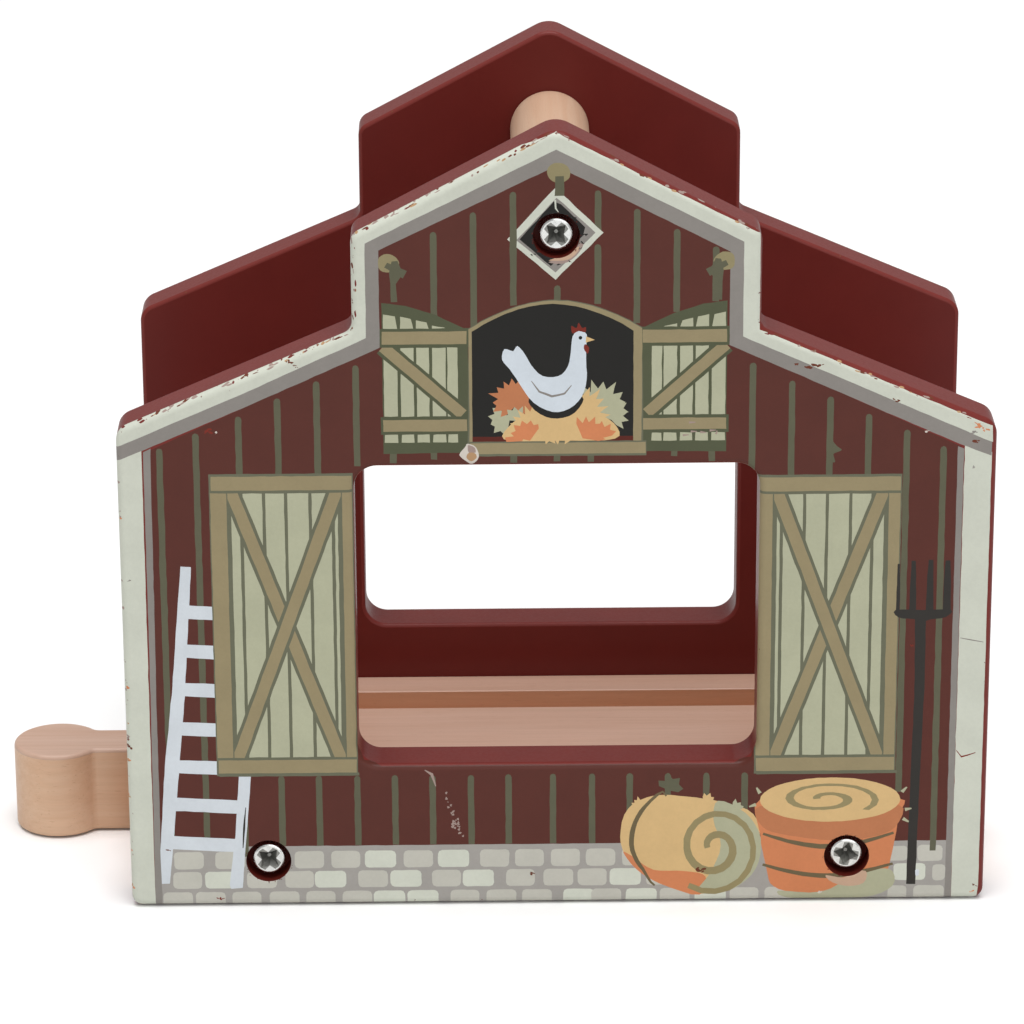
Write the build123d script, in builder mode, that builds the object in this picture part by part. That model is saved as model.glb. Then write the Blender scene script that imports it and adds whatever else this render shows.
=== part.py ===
from build123d import *
import os

os.makedirs("parts", exist_ok=True)

# Toy chicken coop for a wooden railway: two painted barn panels stand either side of a beech
# track piece, and a ridge dowel and six cross-recess screws hold them together.
# Millimetres. X runs along the track, Y from the front panel to the back one, Z is up.
# The origin is the middle of the track's underside.

# Barn panel, one outline for both panels
panel_width = 112.0
panel_thickness = 6.5
eave_height = 66.2
valley_height = 79.2
tower_width = 51.6
tower_eave_height = 91.7
apex_height = 105.4
foot_radius = 1.4
eave_radius = 2.4
valley_radius = 1.6
tower_eave_radius = 1.8
apex_radius = 3.5
panel_edge_radius = 0.9
panel_inner_chamfer = 0.6

# Window through each panel, where the train is watched and reached
window_width = 51.8
window_height = 41.2
window_sill_height = 19.8
window_corner_radius = 3.0

# Track piece that the train runs along
track_length = 112.0
track_width = 43.5
track_height = 12.0
track_foot_chamfer = 0.8
track_top_radius = 0.8
track_end_chamfer = 0.3
groove_gauge = 26.0
groove_width = 6.0
groove_depth = 3.0
groove_mouth_chamfer = 0.4

# Peg on the left end, and the socket on the right end that takes another track's peg
peg_diameter = 12.0
peg_reach = 11.5
peg_neck_width = 7.0
peg_neck_root = 2.0
peg_neck_blend = 1.2
peg_edge_chamfer = 0.8
socket_diameter = 13.5
socket_reach = 11.5
socket_slot_width = 8.2
socket_lead_in = 1.0

# Ridge dowel between the panels
dowel_diameter = 10.6
dowel_drop = 13.9

# Cross-recess screws, three through each panel
foot_screw_spacing = 75.8
foot_screw_height = 6.3
screw_length = 16.0
screw_diameter = 2.6
screw_point_length = 0.6
screw_point_diameter = 1.6
screw_head_diameter = 4.5
screw_head_height = 1.9
recess_span = 3.6
recess_width = 1.1
recess_depth = 1.2
counterbore_diameter = 5.9
counterbore_depth = 3.2
panel_hole_clearance = 0.3
pilot_clearance = 0.05
pilot_end_clearance = 0.4

# Places worked out from the sizes above
dowel_height = apex_height - dowel_drop
inner_face = track_width / 2
outer_face = inner_face + panel_thickness
screw_seat = outer_face - counterbore_depth
pilot_radius = screw_diameter / 2 + pilot_clearance
pilot_depth = screw_length - (screw_seat - inner_face) + pilot_end_clearance
track_end = track_length / 2
sides = {"front": -1, "back": 1}
screw_places = {
    "top": (0, dowel_height),
    "left": (-foot_screw_spacing / 2, foot_screw_height),
    "right": (foot_screw_spacing / 2, foot_screw_height),
}


def side_plane(facing, distance, place=(0, 0)):
    """A plane square to Y that faces the front (-1) or the back (1), with its own y upwards."""
    x, z = place
    return Plane(origin=(x, facing * distance, z), x_dir=(-facing, 0, 0), z_dir=(0, facing, 0))


def barn_panel(facing):
    """A stepped gable with rounded corners and outer edges, its window and its screw holes."""
    right_half = [
        (panel_width / 2, 0),
        (panel_width / 2, eave_height),
        (tower_width / 2, valley_height),
        (tower_width / 2, tower_eave_height),
    ]
    left_half = [(-x, z) for x, z in reversed(right_half)]
    corner_radii = [foot_radius, eave_radius, valley_radius, tower_eave_radius, apex_radius]
    with BuildPart() as panel:
        with BuildSketch(side_plane(facing, inner_face)) as outline:
            with BuildLine():
                Polyline(*right_half, (0, apex_height), *left_half, close=True)
            make_face()
            # Corners are rounded from the top down, so those still sharp keep their level's number
            for level, radius in reversed(list(enumerate(corner_radii))):
                fillet(outline.vertices().group_by(Axis.Y)[level], radius)
            with Locations((0, window_sill_height + window_height / 2)):
                RectangleRounded(
                    window_width, window_height, window_corner_radius, mode=Mode.SUBTRACT
                )
        extrude(amount=panel_thickness)
        inner, outer = panel.faces().filter_by(Axis.Y).sort_by(Axis((0, 0, 0), (0, facing, 0)))
        fillet(outer.edges(), panel_edge_radius)
        chamfer(inner.edges(), panel_inner_chamfer)
        with Locations(*[side_plane(facing, outer_face, place) for place in screw_places.values()]):
            CounterBoreHole(
                radius=screw_diameter / 2 + panel_hole_clearance,
                counter_bore_radius=counterbore_diameter / 2,
                counter_bore_depth=counterbore_depth,
            )
    return panel


def panel_screw(facing, place):
    """A round-headed wood screw in its counterbore, with a cross recess and a blunt point."""
    seat = side_plane(facing, screw_seat, place)
    crown = side_plane(facing, screw_seat + screw_head_height, place)
    with BuildPart() as screw:
        with BuildSketch(Plane(origin=seat.origin, x_dir=seat.x_dir, z_dir=-seat.y_dir)):
            with BuildLine():
                Polyline(
                    (0, screw_head_height),
                    (0, -screw_length),
                    (screw_point_diameter / 2, -screw_length),
                    (screw_diameter / 2, -screw_length + screw_point_length),
                    (screw_diameter / 2, 0),
                    (screw_head_diameter / 2, 0),
                    (screw_head_diameter / 2, screw_head_height),
                    close=True,
                )
            make_face()
        revolve(axis=Axis(seat.origin, seat.z_dir))
        with BuildSketch(crown):
            Rectangle(recess_span, recess_width)
            Rectangle(recess_width, recess_span)
        extrude(amount=-recess_depth, mode=Mode.SUBTRACT)
    return screw


# Both panels are the same piece, the back one turned to face away
for side, facing in sides.items():
    panel = barn_panel(facing)
    panel.part.label = f"{side}_panel"
    export_step(panel.part, f"parts/{side}_panel.step")

# Peg: a round head on a neck that runs a little way into the track's body
with BuildPart() as peg:
    with BuildSketch() as peg_outline:
        with Locations((-track_end - peg_reach, 0)):
            Circle(peg_diameter / 2)
        with Locations((-track_end - (peg_reach - peg_neck_root) / 2, 0)):
            Rectangle(peg_reach + peg_neck_root, peg_neck_width)
        fillet(peg_outline.vertices().group_by(Axis.X)[-2], peg_neck_blend)
    extrude(amount=track_height)
    chamfer(peg.faces().filter_by(Axis.Z).edges(), peg_edge_chamfer)

# Track piece: a grooved body with the peg, the socket and the pilot holes in its sides
with BuildPart() as track_base:
    with BuildSketch(Plane.YZ.offset(-track_end)) as section:
        with Locations((0, track_height / 2)):
            Rectangle(track_width, track_height)
        groove_level = track_height - groove_depth / 2
        with Locations((-groove_gauge / 2, groove_level), (groove_gauge / 2, groove_level)):
            Rectangle(groove_width, groove_depth, mode=Mode.SUBTRACT)
        chamfer(section.vertices().group_by(Axis.Y)[0], track_foot_chamfer)
        fillet(section.vertices().group_by(Axis.Y)[-1].sort_by(Axis.X)[0], track_top_radius)
        fillet(section.vertices().group_by(Axis.Y)[-1].sort_by(Axis.X)[-1], track_top_radius)
        chamfer(section.vertices().group_by(Axis.Y)[-1].sort_by(Axis.X)[1:-1], groove_mouth_chamfer)
    extrude(amount=track_length)
    chamfer(track_base.faces().filter_by(Axis.X).edges(), track_end_chamfer)
    add(peg.part)
    socket_centre = track_end - socket_reach
    slot_edge = socket_slot_width / 2
    with BuildSketch():
        with Locations((socket_centre, 0)):
            Circle(socket_diameter / 2)
        with BuildLine():
            Polyline(
                (socket_centre, -slot_edge),
                (track_end - socket_lead_in, -slot_edge),
                (track_end, -slot_edge - socket_lead_in),
                (track_end, slot_edge + socket_lead_in),
                (track_end - socket_lead_in, slot_edge),
                (socket_centre, slot_edge),
                close=True,
            )
        make_face()
    extrude(amount=track_height, mode=Mode.SUBTRACT)
    foot_places = [screw_places["left"], screw_places["right"]]
    with Locations(
        *[side_plane(facing, inner_face, place) for facing in sides.values() for place in foot_places]
    ):
        Hole(pilot_radius, pilot_depth)
track_base.part.label = "track_base"
export_step(track_base.part, "parts/track_base.step")

# Ridge dowel: a turned rod with a pilot hole in each end
with BuildPart() as top_dowel:
    with BuildSketch(side_plane(sides["front"], inner_face, screw_places["top"])):
        Circle(dowel_diameter / 2)
    extrude(amount=-track_width)
    with Locations(
        *[side_plane(facing, inner_face, screw_places["top"]) for facing in sides.values()]
    ):
        Hole(pilot_radius, pilot_depth)
top_dowel.part.label = "top_dowel"
export_step(top_dowel.part, "parts/top_dowel.step")

for side, facing in sides.items():
    for name, place in screw_places.items():
        screw = panel_screw(facing, place)
        screw.part.label = f"{side}_{name}_screw"
        export_step(screw.part, f"parts/{side}_{name}_screw.step")
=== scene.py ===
"""Looks of a toy chicken coop for a wooden railway.

Two painted barn panels stand either side of a beech track piece, and a ridge dowel and six
cross-recess screws hold them together. Shapes are written in millimetres, X along the track,
Y from the front panel to the back one, Z up, and turned into metres when a mesh is made.
"""

import logging
import math
import random
from dataclasses import dataclass, field
from enum import Enum
from typing import Callable, Sequence

import bpy
import numpy as np
from mathutils import Matrix, Vector, noise
from mathutils.geometry import delaunay_2d_cdt


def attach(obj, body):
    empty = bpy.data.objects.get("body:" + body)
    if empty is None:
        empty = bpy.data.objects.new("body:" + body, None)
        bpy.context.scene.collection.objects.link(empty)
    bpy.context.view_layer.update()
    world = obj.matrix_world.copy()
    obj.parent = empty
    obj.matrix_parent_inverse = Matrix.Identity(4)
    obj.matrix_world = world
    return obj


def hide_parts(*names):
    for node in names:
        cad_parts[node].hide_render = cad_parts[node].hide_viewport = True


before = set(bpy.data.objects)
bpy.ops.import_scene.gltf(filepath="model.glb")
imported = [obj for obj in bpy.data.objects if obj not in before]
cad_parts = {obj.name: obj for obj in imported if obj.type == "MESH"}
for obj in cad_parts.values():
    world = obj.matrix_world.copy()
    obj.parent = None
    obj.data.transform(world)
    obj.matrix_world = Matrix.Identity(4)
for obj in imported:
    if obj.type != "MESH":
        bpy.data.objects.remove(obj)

LOG = logging.getLogger("coop")
MM = 0.001
FLOAT, COLOUR, VECTOR = "Float", "Color", "Vector"

Point = tuple[float, float]
Colour = tuple[float, float, float, float]
Display = tuple[int, int, int]
Shape = tuple["Ink", list[Point]]
Socket = bpy.types.NodeSocket
Sockets = dict[str, Socket]

# The two sides of the toy, the way each faces along Y, and the seed of its print's small marks
FACINGS = {"front": -1, "back": 1}
PRINT_SEEDS = {"front": 5, "back": 11}

# Sizes that more than one piece follows
TRACK_LENGTH = PANEL_WIDTH = 112.0
TRACK_WIDTH = 43.5
SCREW_PLACES: dict[str, Point] = {"top": (0.0, 91.5), "left": (-37.9, 6.3), "right": (37.9, 6.3)}
SCREW_TURNS = {"top": 45.0, "left": 50.0, "right": 78.0}


def linear(red: float, green: float, blue: float) -> Colour:
    """Linear RGBA of a colour given as 0 to 255 display values."""
    channels = (c / 255 for c in (red, green, blue))
    return (*(c / 12.92 if c <= 0.04045 else ((c + 0.055) / 1.055) ** 2.4 for c in channels), 1.0)


def turns_of(steps: int) -> list[float]:
    """A full turn in equal steps, in radians."""
    return [2 * math.pi * k / steps for k in range(steps)]


def spoke(u: float, v: float, reach: float, turn: float) -> Point:
    """The point at a distance and a direction in radians from another."""
    return u + reach * math.cos(turn), v + reach * math.sin(turn)


# ---- Finishes


class Ink(Enum):
    """Paints and prints on a panel, each with its colour and roughness."""

    BODY = ("body red", (98, 30, 25), 0.42)
    # Lighter than the body red: a painted highlight for the gloss on the rounded edges, walls and
    # window rounding
    EDGE = ("edge red", (113, 42, 37), 0.42)
    # Greyer than the body red: the printed siding's own colour with a painted varnish reflection
    # mixed in
    SIDING_WITH_REFLECTION = ("siding brown red", (86, 42, 34), 0.36)
    BATTEN = ("batten green", (92, 91, 72), 0.4)
    TRIM = ("trim white", (200, 203, 190), 0.36)
    TRIM_SHADE = ("trim shade", (136, 131, 126), 0.38)
    FRAME = ("door khaki", (147, 134, 102), 0.4)
    BOARD = ("door board", (174, 175, 149), 0.4)
    JOINT = ("joint olive", (102, 103, 84), 0.4)
    SHUTTER = ("shutter green", (80, 84, 62), 0.4)
    LOFT = ("loft dark", (29, 28, 26), 0.38)
    SILL_GLOW = ("loft floor red", (86, 30, 20), 0.38)
    HEN = ("hen white", (206, 214, 222), 0.36)
    COMB = ("comb red", (120, 40, 28), 0.38)
    STRAW_DEEP = ("straw orange", (204, 128, 86), 0.4)
    STRAW_SHADE = ("straw brown", (184, 118, 80), 0.4)
    STRAW = ("straw gold", (210, 177, 125), 0.4)
    STRAW_PALE = ("straw pale", (172, 172, 144), 0.4)
    TWINE = ("twine olive", (146, 134, 96), 0.4)
    TIE = ("tie olive", (106, 94, 68), 0.4)
    GROUT = ("grout grey", (160, 156, 151), 0.4)
    STONE = ("stone grey", (190, 188, 178), 0.4)
    STONE_PALE = ("stone pale", (205, 208, 195), 0.4)
    LADDER = ("ladder white", (206, 212, 218), 0.36)
    FORK = ("fork black", (48, 45, 42), 0.36)
    LAMP = ("lamp khaki", (142, 132, 98), 0.4)
    PRIMER = ("chip primer", (206, 198, 188), 0.7)
    BARE = ("chip wood", (176, 140, 104), 0.7)
    PINK = ("rubbed pink", (194, 162, 138), 0.6)
    RUST = ("chip brown", (104, 52, 34), 0.6)
    SCRATCH = ("scratch grey", (158, 138, 130), 0.7)
    DRILLED = ("drilled dark", (92, 28, 20), 0.6)

    @property
    def title(self) -> str:
        """The finish's name."""
        return self.value[0]

    @property
    def number(self) -> int:
        """Its finish's number on a panel."""
        return list(Ink).index(self)

    @property
    def colour(self) -> Colour:
        """Linear base colour."""
        return linear(*self.value[1])

    @property
    def roughness(self) -> float:
        """Roughness of the dry film."""
        return self.value[2]


class NodeDesk:
    """Short ways to place and join the nodes of one tree."""

    def __init__(self, tree: bpy.types.NodeTree) -> None:
        """Takes the tree to work on."""
        self.tree = tree

    def add(self, kind: str, **values: object) -> bpy.types.Node:
        """Places a node.

        Args:
            kind: the node's class name without the ShaderNode prefix.
            values: its own settings by name.

        Returns:
            The new node.
        """
        node = self.tree.nodes.new("ShaderNode" + kind)
        for name, value in values.items():
            setattr(node, name, value)
        return node

    def join(self, source: Socket, target: Socket) -> None:
        """Links an output to an input."""
        self.tree.links.new(source, target)

    def math(self, operation: str, *inputs: object) -> Socket:
        """A Math node's result.

        Args:
            operation: the operation's identifier.
            inputs: numbers or sockets, in order.

        Returns:
            The output socket.
        """
        node = self.add("Math", operation=operation)
        for slot, value in zip(node.inputs, inputs):
            self.feed(slot, value)
        return node.outputs[0]

    def feed(self, slot: Socket, value: object) -> None:
        """Gives an input its value.

        Args:
            slot: the input.
            value: a number, a colour or an output to link.
        """
        if isinstance(value, Socket):
            self.join(value, slot)
        else:
            slot.default_value = value

    def noise(
        self, where: Socket, scale: float, detail: float = 2.0, rough: float = 0.5
    ) -> Socket:
        """A noise value between 0 and 1.

        Args:
            where: the position it is read at.
            scale: cells per unit of that position.
            detail: octaves.
            rough: weight of the finer octaves.

        Returns:
            The value's socket.
        """
        node = self.add("TexNoise")
        self.join(where, node.inputs["Vector"])
        node.inputs["Scale"].default_value = scale
        node.inputs["Detail"].default_value = detail
        node.inputs["Roughness"].default_value = rough
        return node.outputs["Fac"]

    def stretch(self, where: Socket, scale: Sequence[float]) -> Socket:
        """A position scaled by its own factor along each axis.

        Args:
            where: the position.
            scale: the three factors.

        Returns:
            The scaled position's socket.
        """
        node = self.add("VectorMath", operation="MULTIPLY")
        self.join(where, node.inputs[0])
        node.inputs[1].default_value = scale
        return node.outputs[0]

    def ramp(
        self, value: Socket, low: object, high: object, out: Point = (0.0, 1.0)
    ) -> Socket:
        """A value eased from one range to another.

        Args:
            value: what is read.
            low: where the ramp starts.
            high: where it ends.
            out: the results at both ends.

        Returns:
            The result's socket.
        """
        node = self.add("MapRange", interpolation_type="SMOOTHSTEP")
        self.join(value, node.inputs["Value"])
        self.feed(node.inputs["From Min"], low)
        self.feed(node.inputs["From Max"], high)
        node.inputs["To Min"].default_value, node.inputs["To Max"].default_value = out
        return node.outputs["Result"]

    def mix(self, mask: object, first: object, second: object) -> Socket:
        """Two colours mixed by a mask.

        Args:
            mask: 0 for the first colour, 1 for the second.
            first: a colour or its socket.
            second: a colour or its socket.

        Returns:
            The mixed colour's socket.
        """
        node = self.add("Mix", data_type="RGBA")
        self.feed(node.inputs[0], mask)
        self.feed(node.inputs[6], first)
        self.feed(node.inputs[7], second)
        return node.outputs[2]

    def shade(self, colour: object, factor: object) -> Socket:
        """A colour made lighter or darker.

        Args:
            colour: a colour or its socket.
            factor: a number or its socket.

        Returns:
            The new colour's socket.
        """
        node = self.add("VectorMath", operation="SCALE")
        self.feed(node.inputs[0], colour)
        self.feed(node.inputs["Scale"], factor)
        return node.outputs[0]

    def less(self, value: Socket, weight: object, taken: object) -> Socket:
        """A value with a weighted one taken off it."""
        return self.math("SUBTRACT", value, self.math("MULTIPLY", taken, weight))

    def seen(self) -> Socket:
        """1 where a camera or a transmission ray arrives, otherwise 0."""
        rays = self.add("LightPath").outputs
        return self.math("MAXIMUM", rays["Is Camera Ray"], rays["Is Transmission Ray"])


# Between these a noise value has most of its spread
MIDDLE = (0.3, 0.7)


@dataclass
class Effect:
    """A shader node group with named inputs and outputs."""

    title: str
    inputs: dict[str, str]
    outputs: dict[str, str]
    build: Callable[[NodeDesk, Sockets], Sockets]
    tree: bpy.types.NodeTree | None = None

    def group(self) -> bpy.types.NodeTree:
        """Builds the group once.

        Returns:
            Its node tree.
        """
        if self.tree is None:
            self.tree = bpy.data.node_groups.new(self.title, "ShaderNodeTree")
            for way, sockets in (("INPUT", self.inputs), ("OUTPUT", self.outputs)):
                for name, kind in sockets.items():
                    self.tree.interface.new_socket(
                        name, in_out=way, socket_type="NodeSocket" + kind
                    )
            desk = NodeDesk(self.tree)
            entry = self.tree.nodes.new("NodeGroupInput")
            leave = self.tree.nodes.new("NodeGroupOutput")
            given = {name: entry.outputs[name] for name in self.inputs}
            for name, socket in self.build(desk, given).items():
                desk.join(socket, leave.inputs[name])
        return self.tree

    def place(self, desk: NodeDesk, **values: object) -> bpy.types.Node:
        """Puts the group into a material.

        Args:
            desk: the material's nodes.
            values: numbers, colours or links by input name, with _ for spaces.

        Returns:
            The group node.
        """
        node = desk.add("Group", node_tree=self.group())
        for name, value in values.items():
            desk.feed(node.inputs[name.replace("_", " ")], value)
        return node


def film_nodes(desk: NodeDesk, given: Sockets) -> Sockets:
    """Printed or sprayed paint: mottling, specks where it has come off, and worn edges.

    Args:
        desk: the group's nodes.
        given: its inputs.

    Returns:
        Its outputs.
    """
    where = given["Position"]
    cloud = desk.noise(where, 0.22, 3.0, 0.55)
    fine = desk.noise(where, 2.6, 3.0, 0.6)
    broad = desk.ramp(cloud, *MIDDLE, (-0.5, 0.5))
    tone = desk.math("ADD", broad, desk.ramp(fine, *MIDDLE, (-0.3, 0.3)))
    factor = desk.math("MULTIPLY_ADD", tone, given["Mottle"], 1.0)
    paint = desk.shade(given["Paint"], factor)
    speck = desk.noise(where, 1.35, 4.0, 0.62)
    far = desk.noise(where, 0.12, 1.0)
    level = desk.math("MULTIPLY_ADD", far, -0.12, 0.86)
    level = desk.less(level, 0.1, given["Specks"])
    worn = desk.math("MULTIPLY", given["Edge"], desk.ramp(far, 0.35, 0.65, (0.45, 1.0)))
    level = desk.less(level, given["Edge wear"], worn)
    gone = desk.ramp(speck, level, desk.math("ADD", level, 0.03))
    deep = desk.ramp(speck, desk.math("ADD", level, 0.05), desk.math("ADD", level, 0.09))
    under = desk.mix(deep, given["Under"], given["Wood"])
    colour = desk.mix(gone, paint, under)
    peel = desk.noise(where, 1.1, 2.0)
    grit = desk.noise(where, 7.0, 2.0)
    height = desk.math("ADD", desk.math("MULTIPLY", peel, 0.5), desk.math("MULTIPLY", grit, 0.12))
    height = desk.less(height, 0.5, gone)
    rough = desk.math("ADD", given["Roughness"], desk.ramp(fine, *MIDDLE, (-0.04, 0.05)))
    rough = desk.math("ADD", rough, desk.math("MULTIPLY", gone, 0.3))
    return {"Colour": colour, "Roughness": rough, "Height": height}


SURFACE_OUTPUTS = {"Colour": COLOUR, "Roughness": FLOAT, "Height": FLOAT}
FILM = Effect(
    "Paint film",
    {
        "Position": VECTOR,
        **dict.fromkeys(("Paint", "Under", "Wood"), COLOUR),
        **dict.fromkeys(("Mottle", "Specks", "Edge", "Edge wear", "Roughness"), FLOAT),
    },
    SURFACE_OUTPUTS,
    film_nodes,
)


def beech_nodes(desk: NodeDesk, given: Sockets) -> Sockets:
    """Steamed beech with its grain along the position's X: soft bands, short dark flecks, pores.

    Args:
        desk: the group's nodes.
        given: its inputs.

    Returns:
        Its outputs.
    """
    where = given["Position"]
    drift = desk.noise(desk.stretch(where, (0.02, 0.16, 0.16)), 1.0, 2.0)
    bent = desk.add("VectorMath", operation="ADD")
    desk.join(where, bent.inputs[0])
    desk.join(desk.shade(drift, 5.0), bent.inputs[1])
    band = desk.noise(desk.stretch(bent.outputs[0], (0.012, 0.55, 0.75)), 1.0, 4.0, 0.6)
    streak = desk.noise(desk.stretch(where, (0.07, 2.8, 2.8)), 1.0, 3.0, 0.55)
    fleck = desk.noise(desk.stretch(where, (0.55, 5.5, 5.5)), 1.0, 1.0)
    pore = desk.noise(desk.stretch(where, (1.4, 12.0, 12.0)), 1.0, 0.0)
    tone = desk.ramp(band, 0.3, 0.72)
    wood = desk.mix(tone, given["Light"], given["Dark"])
    wood = desk.shade(wood, desk.ramp(streak, 0.25, 0.75, (1.025, 0.975)))
    spot = desk.ramp(fleck, 0.66, 0.74)
    wood = desk.mix(desk.math("MULTIPLY", spot, given["Flecks"]), wood, given["Fleck"])
    height = desk.math("ADD", desk.math("MULTIPLY", streak, 0.5), desk.math("MULTIPLY", pore, 0.4))
    rough = desk.math("ADD", given["Roughness"], desk.ramp(streak, *MIDDLE, (-0.04, 0.06)))
    return {"Colour": wood, "Roughness": rough, "Height": height}


BEECH = Effect(
    "Beech grain",
    {
        "Position": VECTOR,
        **dict.fromkeys(("Light", "Dark", "Fleck"), COLOUR),
        **dict.fromkeys(("Flecks", "Roughness"), FLOAT),
    },
    SURFACE_OUTPUTS,
    beech_nodes,
)


@dataclass(frozen=True)
class Finish:
    """What every finish shares: a principled surface read in millimetres."""

    title: str

    def start(self) -> tuple[bpy.types.Material, NodeDesk, bpy.types.Node, Socket]:
        """Starts the material.

        Returns:
            The material, its nodes, its surface shader and the position in millimetres.
        """
        material = bpy.data.materials.new(self.title)
        material.use_nodes = True
        desk = NodeDesk(material.node_tree)
        surface = material.node_tree.nodes["Principled BSDF"]
        where = desk.stretch(desk.add("TexCoord").outputs["Object"], (1 / MM,) * 3)
        return material, desk, surface, where

    def relief(
        self, desk: NodeDesk, surface: bpy.types.Node, height: Socket, depth: float
    ) -> None:
        """Feeds a height to the surface's normal.

        Args:
            desk: the material's nodes.
            surface: the surface shader.
            height: the height between 0 and 1.
            depth: the height of 1, in millimetres.
        """
        bump = desk.add("Bump")
        bump.inputs["Distance"].default_value = depth * MM
        desk.join(height, bump.inputs["Height"])
        desk.join(bump.outputs["Normal"], surface.inputs["Normal"])

    def dress(
        self,
        desk: NodeDesk,
        surface: bpy.types.Node,
        effect: bpy.types.Node,
        depth: float,
        **values: float,
    ) -> None:
        """Gives the surface what an effect works out, and its own numbers.

        Args:
            desk: the material's nodes.
            surface: the surface shader.
            effect: the group node with colour, roughness and height.
            depth: the height of 1, in millimetres.
            values: numbers by input name, with _ for spaces.
        """
        desk.join(effect.outputs["Colour"], surface.inputs["Base Color"])
        desk.join(effect.outputs["Roughness"], surface.inputs["Roughness"])
        for name, value in values.items():
            surface.inputs[name.replace("_", " ")].default_value = value
        self.relief(desk, surface, effect.outputs["Height"], depth)


@dataclass(frozen=True)
class PanelInk(Finish):
    """A paint or a print on a panel, over the red base coat and the wood."""

    ink: Ink = Ink.BODY
    mottle: float = 0.06
    specks: float = 0.12
    edge_wear: float = 0.16
    varnish: float = 0.12
    relief_depth: float = 0.02

    def make(self) -> bpy.types.Material:
        """Builds the material.

        Returns:
            The material.
        """
        material, desk, surface, where = self.start()
        edge = desk.add("Attribute", attribute_name="edge_wear")
        film = FILM.place(
            desk,
            Position=where,
            Paint=self.ink.colour,
            Under=Ink.RUST.colour if self.ink in (Ink.BODY, Ink.EDGE) else Ink.BODY.colour,
            Wood=Ink.BARE.colour,
            Mottle=self.mottle,
            Specks=self.specks,
            Edge=edge.outputs["Fac"],
            Edge_wear=self.edge_wear,
            Roughness=self.ink.roughness,
        )
        self.dress(
            desk,
            surface,
            film,
            self.relief_depth,
            Coat_Weight=self.varnish,
            Coat_Roughness=0.2,
            Coat_IOR=1.42,
            Specular_IOR_Level=0.17,
        )
        return material


@dataclass(frozen=True)
class BeechFinish(Finish):
    """Varnished beech with its grain along one axis."""

    grain_along_y: bool = False
    light: Display = (207, 171, 144)
    dark: Display = (199, 158, 129)
    fleck: Display = (176, 126, 96)
    flecks: float = 0.4
    roughness: float = 0.42
    relief_depth: float = 0.03

    def make(self) -> bpy.types.Material:
        """Builds the material.

        Returns:
            The material.
        """
        material, desk, surface, where = self.start()
        if self.grain_along_y:
            split = desk.add("SeparateXYZ")
            turned = desk.add("CombineXYZ")
            desk.join(where, split.inputs[0])
            for source, target in zip("YXZ", "XYZ"):
                desk.join(split.outputs[source], turned.inputs[target])
            where = turned.outputs[0]
        wood = BEECH.place(
            desk,
            Position=where,
            Light=linear(*self.light),
            Dark=linear(*self.dark),
            Fleck=linear(*self.fleck),
            Flecks=self.flecks,
            Roughness=self.roughness,
        )
        self.dress(
            desk,
            surface,
            wood,
            self.relief_depth,
            Coat_Weight=0.15,
            Coat_Roughness=0.3,
            Specular_IOR_Level=0.4,
        )
        return material


@dataclass(frozen=True)
class ZincFinish(Finish):
    """Bright zinc plate, a little scratched."""

    colour: Display = (232, 233, 231)
    smooth: float = 0.18
    spread: float = 0.1
    relief_depth: float = 0.003

    def make(self) -> bpy.types.Material:
        """Builds the material.

        Returns:
            The material.
        """
        material, desk, surface, where = self.start()
        cloud = desk.noise(where, 1.6, 3.0)
        scratch = desk.noise(desk.stretch(where, (2.0, 2.0, 14.0)), 1.0, 2.0)
        tone = desk.ramp(cloud, *MIDDLE, (0.9, 1.04))
        desk.join(desk.shade(linear(*self.colour)[:3], tone), surface.inputs["Base Color"])
        rough = desk.ramp(scratch, *MIDDLE, (self.smooth, self.smooth + self.spread))
        desk.join(rough, surface.inputs["Roughness"])
        surface.inputs["Metallic"].default_value = 1.0
        self.relief(desk, surface, scratch, self.relief_depth)
        return material


# ---- Meshes


@dataclass
class Rim:
    """A closed edge in a plate's plane, with the direction into the wood at each point."""

    points: list[Point]
    inward: list[Point]

    def ring(self, reach: float) -> list[Point]:
        """The edge moved into the wood by a distance."""
        return [(u + a * reach, v + b * reach) for (u, v), (a, b) in zip(self.points, self.inward)]

    def nearest(self, spots: np.ndarray) -> tuple[np.ndarray, np.ndarray]:
        """Finds how far points are from the edge.

        Args:
            spots: points of the plane, one a row.

        Returns:
            Each point's distance and the direction into the wood at the edge nearest to it.
        """
        start = np.array(self.points)
        end = np.roll(start, -1, axis=0)
        run = end - start
        along = ((spots[:, None] - start) * run).sum(-1) / np.maximum((run**2).sum(-1), 1e-12)
        along = along.clip(0, 1)
        gap = np.linalg.norm(start + along[..., None] * run - spots[:, None], axis=-1)
        best = gap.argmin(1)
        rows = np.arange(len(spots))
        first = np.array(self.inward)
        last = np.roll(first, -1, axis=0)
        part = along[rows, best][:, None]
        way = first[best] * (1 - part) + last[best] * part
        return gap[rows, best], way / np.linalg.norm(way, axis=1)[:, None]


# The widest turn between two points of a rounded corner
ARC_STEP = math.radians(9)


def rounded_rim(corners: Sequence[tuple[float, float, float]], hole: bool = False) -> Rim:
    """A polygon with each corner rounded.

    Args:
        corners: anticlockwise corners as u, v and radius.
        hole: whether the wood lies outside it.

    Returns:
        Its edge.
    """
    points, inward = [], []
    count = len(corners)
    side = 1 if hole else -1
    for i, (u, v, radius) in enumerate(corners):
        here = Vector((u, v))
        before = (here - Vector(corners[i - 1][:2])).normalized()
        after = (Vector(corners[(i + 1) % count][:2]) - here).normalized()
        first, last = Vector((before.y, -before.x)), Vector((after.y, -after.x))
        convex = 1 if before.cross(after) > 0 else -1
        centre = here - (first + last) / (1 + first.dot(last)) * radius * convex
        turn = first.angle(last)
        steps = max(2, math.ceil(turn / ARC_STEP))
        for k in range(steps + 1):
            way = Vector(first.slerp(last, k / steps))
            spot = centre + way * radius * convex
            points.append((spot.x, spot.y))
            inward.append((way.x * side, way.y * side))
    return Rim(points, inward)


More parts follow.
